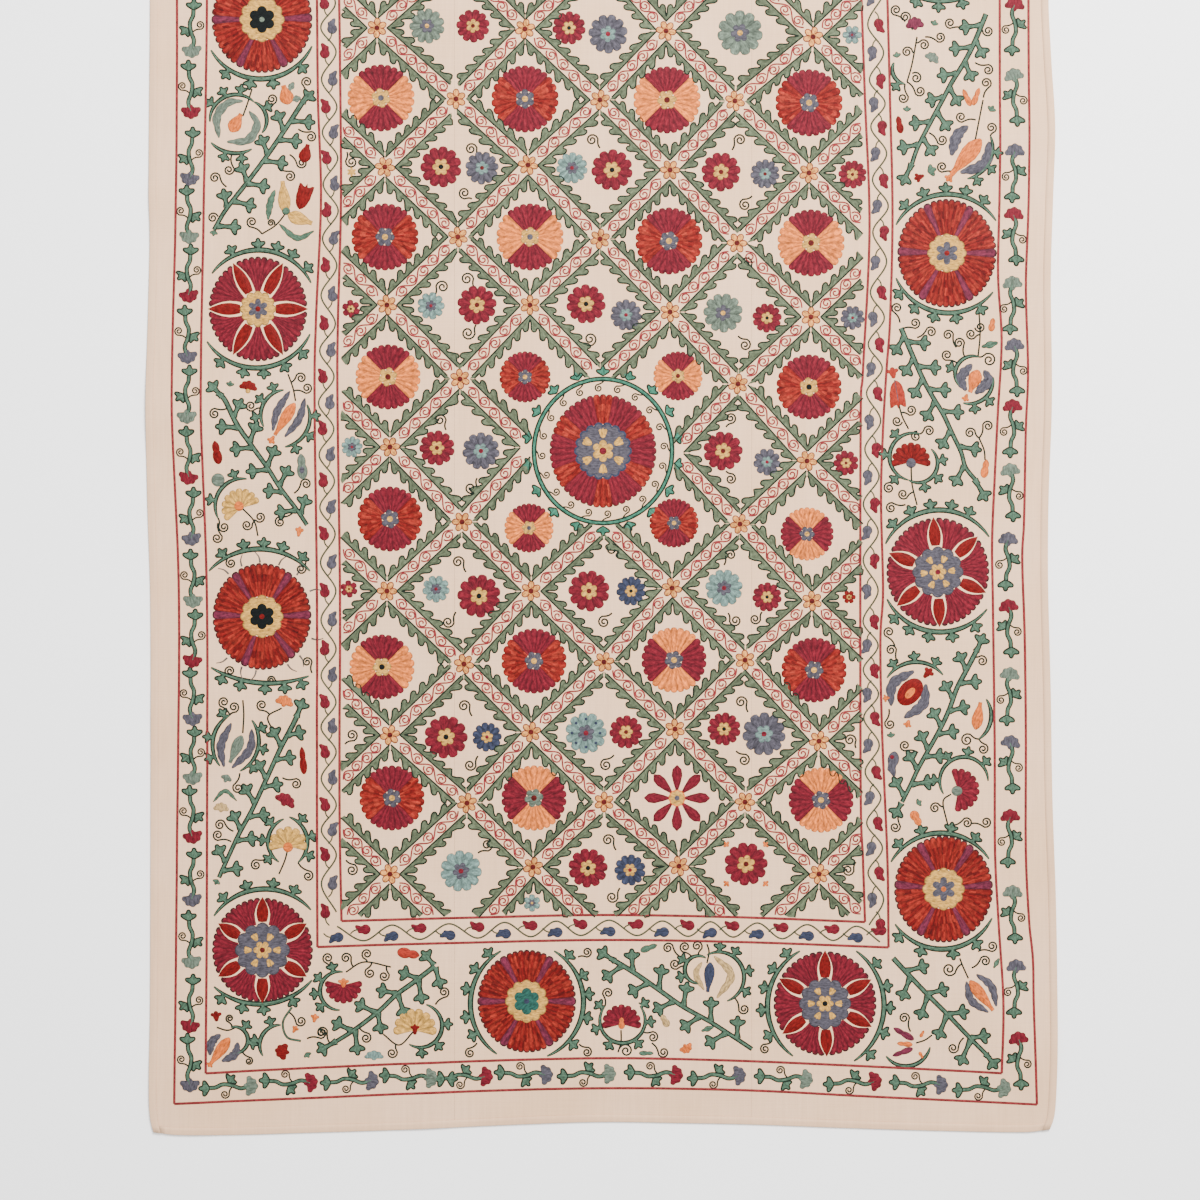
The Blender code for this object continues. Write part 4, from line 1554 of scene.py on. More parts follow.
# A shape in a spray: its kind, its middle, its heading, its length and width, and its colour. A
# fan's width is its number of petals.
Bloom = namedtuple("Bloom", "kind x y aim length width colour")

# A strap is a pointed band along a curve: its points, its half width and its colour.
Strap = namedtuple("Strap", "points half colour")

# A spray: its stem, the middles of the leaf heads on it, the wreaths and blooms about it, its
# straps, thin threads, and the middles of its tendrils, some of them with a radius.
Spray = namedtuple("Spray", "stem leaves wreaths blooms straps threads curls")

LEFT_SPRAY_1 = Spray(
    stem=((306, 97), (284, 131), (265.5, 158), (247, 183), (226, 210), (214, 230)),
    leaves=((308, 97), (307, 122), (294, 141), (280, 163), (262, 186), (248.5, 205), (233, 227),
            (279, 118),
            (263, 142.5), (243, 170), (225, 197)),
    wreaths=(
        Wreath((210, 122), (231.5, 95), (254, 102), ((222, 90), (241, 89), (211, 103))),
        Wreath((254, 102), (266, 115), (262, 133), ((267, 107),)),
        Wreath((211, 142.5), (231.5, 153), (252, 149), ((224, 157), (242, 159))),
    ),
    blooms=(
        Bloom("spindle", 236, 123, 60, 21, 14, ORANGE),
        Bloom("spindle", 286, 95, 105, 20, 15, ORANGE),
        Bloom("leaf", 291, 87, 60, 11, 9, SAGE),
        Bloom("leaf", 296, 99, 10, 10, 10, SAGE),
        Bloom("spindle", 305.5, 153.5, 75, 19, 13, RED),
        Bloom("spindle", 284, 197, 95, 32, 13, YELLOW),
        Bloom("tulip", 303, 198, 72, 32, 25, RED),
        Bloom("spindle", 300, 219, -20, 26, 14, YELLOW),
        Bloom("disc", 286, 211, 0, 8, 8, LEAF),
        Bloom("trefoil", 214, 232, -100, 8, 8, LEAF),
    ),
    straps=(
        Strap(((219, 138), (217, 117), (228, 103), (243, 101)), 5, SAGE),
        Strap(((249, 111), (257, 124), (248, 140), (227, 142)), 5, SAGE),
        Strap(((275, 190), (270, 204), (268, 220)), 4, LEAF),
        Strap(((279, 224), (297, 238), (314, 231)), 3.5, LEAF),
    ),
    threads=(((252, 89), (248, 102), (243, 116)), ((286, 213), (276, 225), (262, 234))),
    curls=((307, 82), (272, 99), (229, 170), (215, 178), (311, 137), (302, 163), (290, 176.5),
           (213, 218),
           (252, 222), (271, 223, 4)),
)

LEFT_SPRAY_2 = Spray(
    stem=((217, 393), (225, 400), (237, 424), (252, 446), (268, 468.5), (281, 489), (297, 510),
          (307, 525)),
    leaves=((214, 388), (239, 406), (255, 429), (273, 453), (286, 473), (304, 502.5), (224, 427),
            (238, 449),
            (254, 471), (271, 491), (282.5, 512)),
    wreaths=(
        Wreath((284, 390), (264, 403), (264, 427), ((273, 387.5), (260, 399), (258, 417.5))),
        Wreath((307, 404.5), (309, 425), (285, 447), ((314, 416), (311, 437), (296, 449))),
        Wreath((247, 479), (219, 492), (218, 518), ((234, 475), (212, 500))),
    ),
    blooms=(
        Bloom("trefoil", 230, 385, 80, 8, 8, LEAF),
        Bloom("flower", 248, 389, 80, 17, 20, RED),
        Bloom("disc", 248, 391, 0, 5, 5, YELLOW),
        Bloom("spindle", 285, 419, -122, 38, 12, ORANGE),
        Bloom("crown", 272.5, 439, -122, 11, 11, ORANGE),
        Bloom("bud", 217, 453, 100, 24, 15, RED),
        Bloom("disc", 218, 480, 0, 13, 13, SAGE),
        Bloom("bud", 302, 467, 95, 26, 17, SAGE),
        Bloom("disc", 302, 470, 0, 6, 8, BLUE),
        Bloom("fan", 241, 508, 120, 20, 9, YELLOW),
        Bloom("disc", 239, 506, 0, 10, 10, ORANGE),
        Bloom("crown", 299, 532.6, 80, 13, 11, ORANGE),
    ),
    straps=(
        Strap(((290, 391), (277, 412), (273, 431)), 4.5, BLUE),
        Strap(((305, 398), (299, 419), (285, 437)), 4.5, BLUE),
    ),
    threads=(((288, 374), (293, 388), (295.6, 401)), ((242, 508), (254, 521), (258, 536))),
    curls=((301, 378), (307, 388), (251, 406), (215, 414), (306, 484), (260, 517), (247, 525),
           (224, 527),
           (217, 538), (280, 522)),
)

LEFT_SPRAY_3 = Spray(
    stem=((299, 711), (294, 723), (281, 747.5), (265.5, 781), (252, 810), (239, 834), (225, 864),
          (219, 877.5)),
    leaves=((301, 706), (298, 733), (288, 758), (275, 785), (262, 815), (250, 839), (235, 869),
            (275, 734),
            (260, 767), (247, 791), (235, 818), (220, 852)),
    wreaths=(
        Wreath((230, 715), (213, 740), (220, 766), ((224, 715), (208, 737), (210, 758))),
        Wreath((252, 720), (259, 740), (240, 771), ((262, 728), (263, 749), (253, 768))),
        Wreath((284, 819), (268, 840), (279, 862), ((271, 823), (263, 840), (267, 860))),
        Wreath((289, 817), (307, 838), (298, 862.5), ((303, 818), (313, 836), (310, 856))),
    ),
    blooms=(
        Bloom("flower", 284, 704, 75, 18, 20, ORANGE),
        Bloom("spindle", 236, 749, -114, 30, 12, SAGE),
        Bloom("trefoil", 227, 777, -114, 11, 11, SAGE),
        Bloom("bud", 303, 761, 95, 28, 12, RED),
        Bloom("flower", 284, 803, 60, 20, 24, CRIMSON),
        Bloom("flower", 221, 810, 85, 15, 17, BEIGE),
        Bloom("fan", 288, 846, 90, 20, 7, YELLOW),
        Bloom("disc", 288, 847, 0, 10, 10, ORANGE),
        Bloom("trefoil", 217, 881, -120, 8, 8, LEAF),
    ),
    straps=(
        Strap(((231.5, 723), (221, 746), (224, 767)), 5, BLUE),
        Strap(((252, 729), (250, 749), (232, 768)), 5, BLUE),
        Strap(((213, 802), (225, 791), (237, 801)), 2.6, LEAF),
    ),
    threads=(((282, 708), (268, 717), (275, 733.5)), ((288, 848), (285, 860), (279, 874)),
             ((243, 700), (244, 715), (243, 733))),
    curls=((224, 702), (234, 707), (262, 705), (238, 788), (296, 784), (220, 825), (218, 835),
           (256, 865),
           (308, 876)),
)

RIGHT_SPRAY_1 = Spray(
    stem=((986, 14), (975, 41), (965, 61), (952, 82), (942, 101), (929, 125), (917, 149), (910, 170)),
    leaves=((967, 27), (957, 48.5), (945, 75), (933, 99.5), (917, 123), (905, 147), (981, 51),
            (970, 74),
            (956, 99), (945, 124), (930, 149), (905, 178)),
    wreaths=(
        Wreath((894, 62.5), (893, 74), (905, 84), ((896, 86),)),
        Wreath((990, 136.5), (990, 160), (967, 179), ((996.5, 153), (994, 172), (978, 182))),
    ),
    blooms=(
        Bloom("flower", 915, 27, 95, 20, 20, PURPLE),
        Bloom("trefoil", 897, 56, 100, 8, 8, LEAF),
        Bloom("trefoil", 934, 24, 70, 8, 8, LEAF),
        Bloom("trefoil", 907, 110, 90, 8, 8, LEAF),
        Bloom("flower", 931, 60, 60, 16, 17, SAGE),
        Bloom("bud", 899.5, 125, 100, 18, 12, RED),
        Bloom("bud", 967, 98, 115, 19, 10, ORANGE),
        Bloom("bud", 976, 97, 70, 19, 10, ORANGE),
        Bloom("trefoil", 991, 110, 60, 9, 9, LEAF),
        Bloom("spindle", 966, 157, -130, 46, 17, ORANGE),
        Bloom("crown", 950, 177, -130, 12, 12, ORANGE),
        Bloom("trefoil", 930, 171, 20, 12, 12, LEAF),
        Bloom("crown", 920, 177, 200, 13, 12, RED),
    ),
    straps=(
        Strap(((968, 126), (957, 136), (951, 156)), 6.5, BLUE),
        Strap(((989, 142), (984, 164), (960, 173)), 6.5, BLUE),
    ),
    threads=(((917, 37), (912, 64), (907, 82)), ((983, 100), (979, 120), (975, 140))),
    curls=((896, 10), (905, 17), (924, 45), (907, 52), (916, 78, 6), (940, 37), (950, 23),
           (920, 91), (903, 98),
           (988, 31), (988, 70), (986, 83), (961, 117), (991, 128), (942, 167), (942, 140)),
)

RIGHT_SPRAY_2 = Spray(
    stem=((901, 328), (911, 352), (922, 377), (931, 394), (943, 414), (951, 431), (961, 452),
          (966, 468),
          (979, 484)),
    leaves=((897, 348), (907, 369), (916, 391), (928, 414), (943.5, 442), (957, 479), (922.5, 343),
            (933, 367.5), (943, 390), (956, 412), (973.5, 449), (983, 494)),
    wreaths=(
        Wreath((979, 357), (957, 366), (959.5, 386), ((953, 368),)),
        Wreath((993, 377), (986, 397), (963, 403), ((990, 402), (975, 411))),
        Wreath((920, 434), (890, 452), (908.5, 480), ((896, 435), (886, 455), (893, 481))),
        Wreath((931, 449), (937, 468), (908.5, 480), ((943, 460), (940, 480), (925, 489))),
    ),
    blooms=(
        Bloom("bud", 992, 325, 80, 14, 11, ORANGE),
        Bloom("leaf", 989, 345, 15, 18, 10, LEAF),
        Bloom("spindle", 974, 381, -110, 24, 14, ORANGE),
        Bloom("crown", 966, 397, -110, 10, 10, ORANGE),
        Bloom("tulip", 897, 393, -85, 34, 26, ORANGE_RED),
        Bloom("crown", 893, 374, 100, 14, 15, ORANGE_RED),
        Bloom("spindle", 896.5, 391, 100, 22, 5, BLUE),
        Bloom("fan", 911, 462, 90, 20, 9, RED),
        Bloom("disc", 911, 463, 0, 10, 10, BLUE),
        Bloom("bud", 985, 469, 80, 19, 13, ORANGE),
    ),
    straps=(
        Strap(((972, 364), (961, 378), (966, 391)), 6, BLUE),
        Strap(((984, 370), (988, 381), (975, 394)), 6, BLUE),
    ),
    threads=(((898, 401), (902, 416), (908.5, 429)), ((911, 464), (912, 484), (917, 505)),
             ((979, 438), (984, 450), (985, 460)), ((979, 312), (980, 335), (978, 357))),
    curls=((897, 308), (915, 323), (931, 332), (948, 335), (947, 355), (959, 343), (971, 334),
           (980, 327),
           (989, 360, 7), (911, 410), (897, 421), (916, 436.5), (929, 431), (970, 433), (988, 426),
           (889, 488),
           (903, 494), (891, 508)),
)

RIGHT_SPRAY_3 = Spray(
    stem=((979, 646), (966, 671), (957, 688), (949, 710), (939, 731), (920, 765), (911, 784),
          (902, 802)),
    leaves=((981, 641), (961, 659), (947, 688), (935, 715), (922.5, 738), (911, 758), (897, 784),
            (973.5, 682),
            (962, 708), (951, 732), (938, 756), (926, 782.5), (897, 811)),
    wreaths=(
        Wreath((887, 678), (914, 662), (943, 675), ((893, 664), (914, 655), (937, 660))),
        Wreath((943.5, 794), (945, 766), (988, 781),
               ((934, 780), (949, 759.5), (968, 756), (983, 764))),
        Wreath((986, 699), (991, 719), (979, 739), ()),
    ),
    blooms=(
        Bloom("disc", 910, 692, 48, 30, 21, RED),
        Bloom("crown", 927, 674, 48, 15, 14, RED),
        Bloom("disc", 910, 693, 48, 17, 10, ORANGE),
        Bloom("crown", 887, 698, 190, 9, 10, ORANGE),
        Bloom("crown", 908, 723, -110, 10, 11, ORANGE),
        Bloom("spindle", 978, 716, 80, 28, 12, ORANGE),
        Bloom("comma", 893, 762, -100, 27, 19, BLUE),
        Bloom("disc", 892, 757, 0, 5, 5, CRIMSON),
        Bloom("trefoil", 891, 736, 95, 8, 8, LEAF),
        Bloom("fan", 958, 790, 5, 22, 10, CRIMSON),
        Bloom("disc", 957, 791, 0, 11, 10, SAGE),
        Bloom("trefoil", 918, 803, 30, 8, 8, LEAF),
        Bloom("bud", 916, 818, -60, 17, 15, ORANGE),
    ),
    straps=(
        Strap(((891, 706), (893, 684), (914, 671)), 6, BLUE),
        Strap(((904, 718), (923, 704), (926, 684)), 6, BLUE),
    ),
    threads=(((951, 794), (943, 802), (948, 826)),),
    curls=((889, 632), (891, 650), (982, 661), (967, 740, 6.5), (983, 749), (890, 724),
           (905, 745.5), (935, 808),
           (967, 823), (986, 822), (895, 827)),
)

END_SPRAY_1 = Spray(
    stem=((435, 966), (414, 982), (396, 995), (379, 1011), (354, 1030), (331, 1044.6)),
    leaves=((427, 957), (406, 974), (384, 991), (362, 1006), (339, 1024.5), (439, 981), (421, 996),
            (403, 1010),
            (380, 1026), (357, 1047), (324, 1048)),
    wreaths=(
        Wreath((343, 972), (320, 991), (340, 1010), ((332, 966), (316, 976), (312, 994), (318, 1009))),
        Wreath((426, 1004.5), (442, 1028), (409, 1044), ((450, 1024), (440, 1047), (422, 1054))),
    ),
    blooms=(
        Bloom("fan", 343.5, 985, -90, 19, 9, CRIMSON),
        Bloom("crown", 343.5, 984, 90, 12, 14, ORANGE),
        Bloom("bud", 408, 953.5, -10, 23, 17, ORANGE_RED),
        Bloom("fan", 415, 1030, 90, 22, 8, YELLOW),
        Bloom("crown", 415, 1030, 90, 14, 13, RED),
        Bloom("flower", 374, 1058, 90, 15, 21, TURQUOISE),
    ),
    straps=(),
    threads=(((346, 972), (364, 962), (391, 967)), ((413, 1032), (399, 1045), (383, 1034))),
    curls=((328, 958), (346, 958), (367, 954), (370, 973), (384, 976), (322, 1032), (366, 1038),
           (444, 992),
           (392, 1053)),
)

END_SPRAY_2 = Spray(
    stem=((609.5, 958), (630, 970), (655, 987), (682, 1006), (710.5, 1022), (737, 1039), (752, 1049)),
    leaves=((604, 954), (632, 957), (661, 972.5), (686, 990), (711, 1005), (737.5, 1024), (609, 975),
            (635, 990), (660, 1008), (687, 1025), (712, 1041)),
    wreaths=(
        Wreath((706, 958), (687, 962), (701, 983), ((684, 960), (684, 976))),
        Wreath((707, 955), (741, 965), (727, 1001), ((720, 945), (738, 948), (748, 971), (745, 991))),
        Wreath((605, 1006), (621, 1043), (640, 1006),
               ((599, 1005), (596, 1029), (609.5, 1044), (636, 1041), (648.5, 1022), (645, 1003))),
    ),
    blooms=(
        Bloom("bud", 648.5, 948, 20, 18, 11, LEAF),
        Bloom("spindle", 709, 977, -95, 30, 11, NAVY),
        Bloom("fan", 621.6, 1024, 90, 20, 9, CRIMSON),
        Bloom("bud", 621.6, 1023, 90, 13, 11, ORANGE),
        Bloom("bud", 665, 1021, 120, 14, 12, BEIGE),
        Bloom("flower", 685, 1046, -60, 15, 15, ORANGE),
        Bloom("bud", 646, 1053, 0, 15, 8, LEAF),
        Bloom("leaf", 707, 1029, 20, 14, 8, LEAF),
    ),
    straps=(
        Strap(((714, 956), (731, 975), (717, 998)), 4.5, BEIGE),
        Strap(((702, 962), (696, 974), (704, 990)), 3.5, BEIGE),
    ),
    threads=(((707, 944), (709, 952), (707, 963)), ((621, 1030), (621, 1042), (618, 1052))),
    curls=((608, 993), (668, 948), (685, 947), (697, 946), (675, 964), (744, 1009), (653, 1037),
           (663.5, 1052),
           (626, 1050.5, 7)),
)

LEFT_CORNER_SPRAY = Spray(
    stem=((292, 1007), (283, 1022), (287, 1037), (301, 1041)),
    leaves=(),
    wreaths=(
        Wreath((231, 1027), (248, 1038), (233, 1053), ((247, 1024), (256, 1044))),
        Wreath((281, 1025), (261, 1038), (263, 1056), ((271, 1024), (254, 1040))),
    ),
    blooms=(
        Bloom("crown", 216.5, 1017, 95, 13, 14, RED),
        Bloom("spindle", 220, 1051, -126, 34, 12, ORANGE),
        Bloom("crown", 211, 1063, -126, 9, 9, ORANGE),
        Bloom("flower", 286, 1052, 170, 22, 18, RED),
        Bloom("crown", 294.5, 1030, 60, 10, 9, ORANGE),
        Bloom("crown", 314.5, 1019, 80, 11, 11, ORANGE),
        Bloom("trefoil", 307, 1054, -60, 8, 8, LEAF),
    ),
    straps=(
        Strap(((221, 1034), (212, 1042), (210, 1055)), 5, BLUE),
        Strap(((238, 1042), (235, 1054), (222, 1061)), 5, BLUE),
    ),
    threads=(((217, 1027), (228, 1030), (238, 1026)),),
    curls=((230, 1018, 4), (301, 1021), (249, 1061, 4), (321, 1033)),
)

RIGHT_CORNER_SPRAY = Spray(
    stem=((893, 958), (906, 972), (926, 993), (949, 1016), (970, 1038), (990, 1058)),
    leaves=((921, 967), (941, 990), (961, 1012), (982, 1036), (904, 993), (922, 1012), (940, 1032),
            (962.5, 1058), (992, 1062)),
    wreaths=(Wreath((886, 1056), (909, 1066), (930, 1047), ()),),
    blooms=(
        Bloom("spindle", 981, 995, -52, 38, 12, ORANGE),
        Bloom("leaf", 996, 963.5, 60, 12, 7, LEAF),
        Bloom("bud", 904, 1034, 150, 24, 11, PURPLE),
        Bloom("bud", 903, 1052, 200, 22, 10, PURPLE),
        Bloom("bud", 905, 1044, 175, 16, 9, ORANGE),
        Bloom("bud", 922, 1034, 60, 8, 6, ORANGE),
        Bloom("bud", 921, 1055, -60, 8, 6, ORANGE),
    ),
    straps=(
        Strap(((966, 981), (971, 1000), (988, 1012)), 4.5, BLUE),
        Strap(((976, 974), (991, 986), (996, 1006)), 4.5, BLUE),
    ),
    threads=(((959.5, 958), (963, 967), (968, 978)), ((916, 1043), (925, 1040), (932, 1035))),
    curls=((949, 969, 7), (992, 946), (985, 961), (904, 1018), (953, 1048)),
)

SIDE_SPRAYS = (LEFT_SPRAY_1, LEFT_SPRAY_2, LEFT_SPRAY_3, RIGHT_SPRAY_1, RIGHT_SPRAY_2, RIGHT_SPRAY_3)
END_SPRAYS = (END_SPRAY_1, END_SPRAY_2, LEFT_CORNER_SPRAY, RIGHT_CORNER_SPRAY)

BUD = ((0, 0.42, 0.50), (180, 0.30, 0.62), (0, 0.80, 0.20))
FLOWER = (
    (0, 0.70, 0.30), (36, 0.68, 0.28), (-36, 0.68, 0.28), (76, 0.64, 0.28), (-76, 0.64, 0.28),
    (0, 0.22, 0.42), (180, 0.10, 0.22),
)
CROWN = ((0, 0.66, 0.30), (50, 0.66, 0.28), (-50, 0.66, 0.28), (0, 0.0, 0.42), (180, 0.35, 0.3))
LEAF_SHAPE = ((0, 0.55, 0.45), (70, 0.30, 0.45), (-70, 0.30, 0.45), (180, 0.45, 0.40))
BLOOM_LOBES = {
    "bud": BUD,
    "flower": FLOWER,
    "crown": CROWN,
    "leaf": LEAF_SHAPE,
    "trefoil": LEAF_HEAD,
    "disc": ROUND,
    "tulip": TULIP,
    "comma": COMMA,
}
FAN_SWEEP = 105

# Leaf heads: their size on the large wreaths, the small ones and the stems, how far they stand
# off a wreath, and how many steps back along the stem their necks start.
LEAF_SIZE = 7.8
SMALL_LEAF = 7.0
STEM_LEAF = 8.8
HEAD_REACH = 4.6
LEAF_BACK = 5
NECK_START = 1.3
SHORTEST_NECK = 4.4
NECK_HALVES = (4.2, 2.8, 3.4)

# Half widths of the wreaths' arcs and of the stems, from foot to tip.
WREATH_HALF = 3.4
SMALL_WREATH_HALF = 2.9
STEM_HALVES = (3.2, 2.7)
BARE_STEM_HALF = 1.4
THREAD_WIDTH = 1.8

# Tendrils of a spray: their radius, how far they may reach, and their length where that is too far.
TENDRIL_RADIUS = 5.4
TENDRIL_REACH = 17
TENDRIL_LENGTH = 15


def leaf_head(piece, path, x, y, size, back=0):
    """A three-lobed leaf on a short neck. back moves the foot of the neck along the stem."""
    _, index = nearest(path, x, y)
    foot = path[int(np.clip(index + back, 0, len(path) - 1))]
    head = np.array((x, y), float)
    away = head - foot
    length = max(float(np.hypot(*away)), 0.1)
    away /= length
    aim = heading(foot, (x, y))
    blob(piece, x, y, aim, size, LEAF_HEAD, LEAF, DARK, steps=48)
    if length > SHORTEST_NECK:
        neck = smooth_path((foot + away * NECK_START, head - away * size * 0.12))
        half = np.interp(np.linspace(0, 1, len(neck)), (0, 0.5, 1), NECK_HALVES)
        ribbon(piece, neck, half, half, LEAF, DARK, rim=1.7, height=NECK_HEIGHT)


def wreath(piece, row, half=WREATH_HALF, size=LEAF_SIZE):
    """A leafy arc, pointed at both ends, with leaf heads on its outer side."""
    path = arc_path(row.start, row.through, row.end)
    width = leaf_width(path, half, 0.45)
    ribbon(piece, path, width, width, LEAF, DARK)
    for x, y in row.heads:
        foot, _ = nearest(path, x, y)
        away = (np.array((x, y)) - foot) / max(math.hypot(x - foot[0], y - foot[1]), 0.1)
        leaf_head(piece, path, *(foot + away * HEAD_REACH), size)
    return path


# A pod's half width along it, at shares of its length.
POD_PLACES = (0.0, 0.08, 0.22, 0.42, 0.66, 0.86, 1.0)
POD_WIDTHS = (0.15, 0.55, 0.92, 1.0, 0.72, 0.36, 0.34)


def bloom(piece, row):
    """One flower, bud or leaf of a spray."""
    edge = DARK if row.colour == LEAF else darker(row.colour)
    if row.kind == "fan":
        petals(piece, row.x, row.y, 2.0, row.length, row.aim - FAN_SWEEP, row.aim + FAN_SWEEP, row.width,
               row.colour, edge)
    elif row.kind == "spindle":
        turn = math.radians(row.aim)
        reach = np.array((math.cos(turn), -math.sin(turn))) * row.length / 2
        middle = np.array((row.x, row.y))
        path = smooth_path((middle - reach, middle + reach))
        width = row.width / 2 * np.interp(np.linspace(0, 1, len(path)), POD_PLACES, POD_WIDTHS)
        ribbon(piece, path, width, width, row.colour, edge, rim=0.7, height=0.85)
    else:
        height = 0.75 + 3 / row.width if row.kind == "disc" else 0.8
        blob(piece, row.x, row.y, row.aim, row.width / 2 * 1.05, BLOOM_LOBES[row.kind], row.colour, edge,
             rim=0.7, stretch=row.length / row.width, height=height, steps=40)


def serrated(piece, row):
    """A pointed band with small teeth on both sides."""
    path = smooth_path(row.points, 1.2)
    s = np.linspace(0, 1, len(path))
    teeth = 0.78 + 0.22 * abs(np.sin(s * math.pi * 4.5))
    width = leaf_width(path, row.half, 0.6) * teeth
    edge = DARK if row.colour == LEAF else darker(row.colour, 0.75)
    ribbon(piece, path, width, width, row.colour, edge, rim=0.7)


def spray(leaves, blooms, row):
    """One branching spray of the main border: stem, leaves, flowers and tendrils."""
    stem = smooth_path(row.stem)
    half = np.linspace(*STEM_HALVES, len(stem)) if row.leaves else BARE_STEM_HALF
    ribbon(leaves, stem, half, half, LEAF, DARK, rim=1.7)
    back = 0
    if row.leaves:
        ends = (stem[0], stem[-1])
        gaps = [min(math.hypot(x - end[0], y - end[1]) for x, y in row.leaves) for end in ends]
        back = LEAF_BACK if gaps[0] < gaps[1] else -LEAF_BACK
    for x, y in row.leaves:
        leaf_head(leaves, stem, x, y, STEM_LEAF, back)
    paths = [stem]
    for ring in row.wreaths:
        paths.append(wreath(leaves, ring, SMALL_WREATH_HALF, SMALL_LEAF))
    for points in row.threads:
        path = smooth_path(points)
        line(leaves, path, THREAD_WIDTH, DARK)
        paths.append(path)
    for strap in row.straps:
        serrated(blooms, strap)
    for shape in row.blooms:
        bloom(blooms, shape)
    spray_tendrils(leaves, row.curls, np.vstack(paths))


def spray_tendrils(piece, rows, lines):
    """A spray's tendrils. Each starts from the nearest line, or near its own spiral if that is far."""
    for number, row in enumerate(rows):
        middle = np.array(row[:2])
        radius = row[2] if len(row) > 2 else TENDRIL_RADIUS
        foot, _ = nearest(lines, *middle)
        distance = math.hypot(*(foot - middle))
        if distance > TENDRIL_REACH:
            foot = middle + (foot - middle) * TENDRIL_LENGTH / distance
        curl(piece, *middle, radius, tuple(foot), hand=1 if number % 2 else -1)


# Tendrils that stand alone in the main border, and a lone leaf in the outer band.
BORDER_CURLS = (
    Curl(231, 563, 5, 226, 553, 1),
    Curl(301, 569, 5, 307, 560, -1),
    Curl(230, 671, 5, 224, 679, -1),
    Curl(271, 680, 4, 280, 684, 1),
    Curl(307, 662, 5, 312, 673, 1),
)
END_CURLS = (
    Curl(587, 952, 5, 578, 957, 1),
    Curl(587, 1052, 5, 579, 1044, -1),
    Curl(470, 1053, 5, 477, 1043, 1),
    Curl(765, 1049, 5, 772, 1041, 1),
)
LONE_LEAF = (450, 1079, 8.5)


def make_sprays(material):
    """The leafy arcs and sprays between the large border flowers, repeated at the far end."""
    leaves = Stitching("border_leaves")
    blooms = Stitching("border_blooms")
    for row in SIDE_WREATHS + END_WREATHS:
        wreath(leaves, row)
    for row in SIDE_SPRAYS + END_SPRAYS:
        spray(leaves, blooms, row)
    tendrils(leaves, BORDER_CURLS + END_CURLS)
    blob(leaves, *LONE_LEAF[:2], 0, LONE_LEAF[2], LEAF_HEAD, LEAF, DARK, steps=40)
    leaves.turned = blooms.turned = True
    for row in END_WREATHS + TURNED_SIDE_WREATHS:
        wreath(leaves, row)
    for row in END_SPRAYS:
        spray(leaves, blooms, row)
    tendrils(leaves, END_CURLS)
    return [leaves.finish(material), blooms.finish(material)]


# Sprigs in the outer band, one side of it at a time: where each flower stands along the side, the
# place of the first one's colour, the band's middle line, the way the sprigs point, and whether
# the side runs down the picture.
SPRIG_COLOURS = (SAGE, CRIMSON, BLUE)
Side = namedtuple("Side", "places first middle ahead down")

SPRIG_SIDES = (
    Side(places=(-132, -72, -11, 50, 111, 178, 236, 295, 356, 416, 477, 538, 600, 660, 718, 777, 836,
                 899, 961, 1025, 1084),
         first=0,
         middle=((-198, 186), (0, 192), (200, 190), (400, 186.5), (600, 193), (850, 192), (1100, 190)),
         ahead=1, down=True),
    Side(places=(1039, 967, 893, 817, 743, 675, 607, 540, 471, 407, 346, 284, 215, 152, 76, 5, -57,
                 -118, -178),
         first=1,
         middle=((-198, 1014.3), (180, 1014.5), (270, 1012), (340, 1014.8), (470, 1010.5), (540, 1007.8),
                 (740, 1010), (850, 1010.4), (920, 1013.7), (1000, 1018), (1100, 1019)),
         ahead=-1, down=True),
)
END_SPRIGS = Side(
    places=(250, 310, 371, 430, 485, 545, 608, 675, 738, 805, 874, 940, 1003), first=0,
    middle=((190, 1088.5), (330, 1082), (450, 1077), (600, 1073.5), (720, 1075), (860, 1081), (1019, 1088.5)),
    ahead=1, down=False)


# A sprig's parts, as pixels forward of its flower and aside: its stem, foot, leaf and tendril.
SPRIG_STEM = ((0, 0), (-9, -2.5), (-18, 0.5), (-27, 1.5), (-34, -1.5), (-40, -2.0))
SPRIG_STEM_HALF = 2.6
SPRIG_FOOT = (-43, -2.5)
SPRIG_FOOT_SIZE = 8.6
SPRIG_LEAF = (-20, 5.5)
SPRIG_LEAF_FROM = (-25, 0)
SPRIG_LEAF_SIZE = 7.6
SPRIG_TENDRIL = (-25, -8.5)
SPRIG_TENDRIL_FROM = (-18, -1.5)
SPRIG_FLOWER = (-3, 0)
SPRIG_FLOWER_SIZE = 11.5


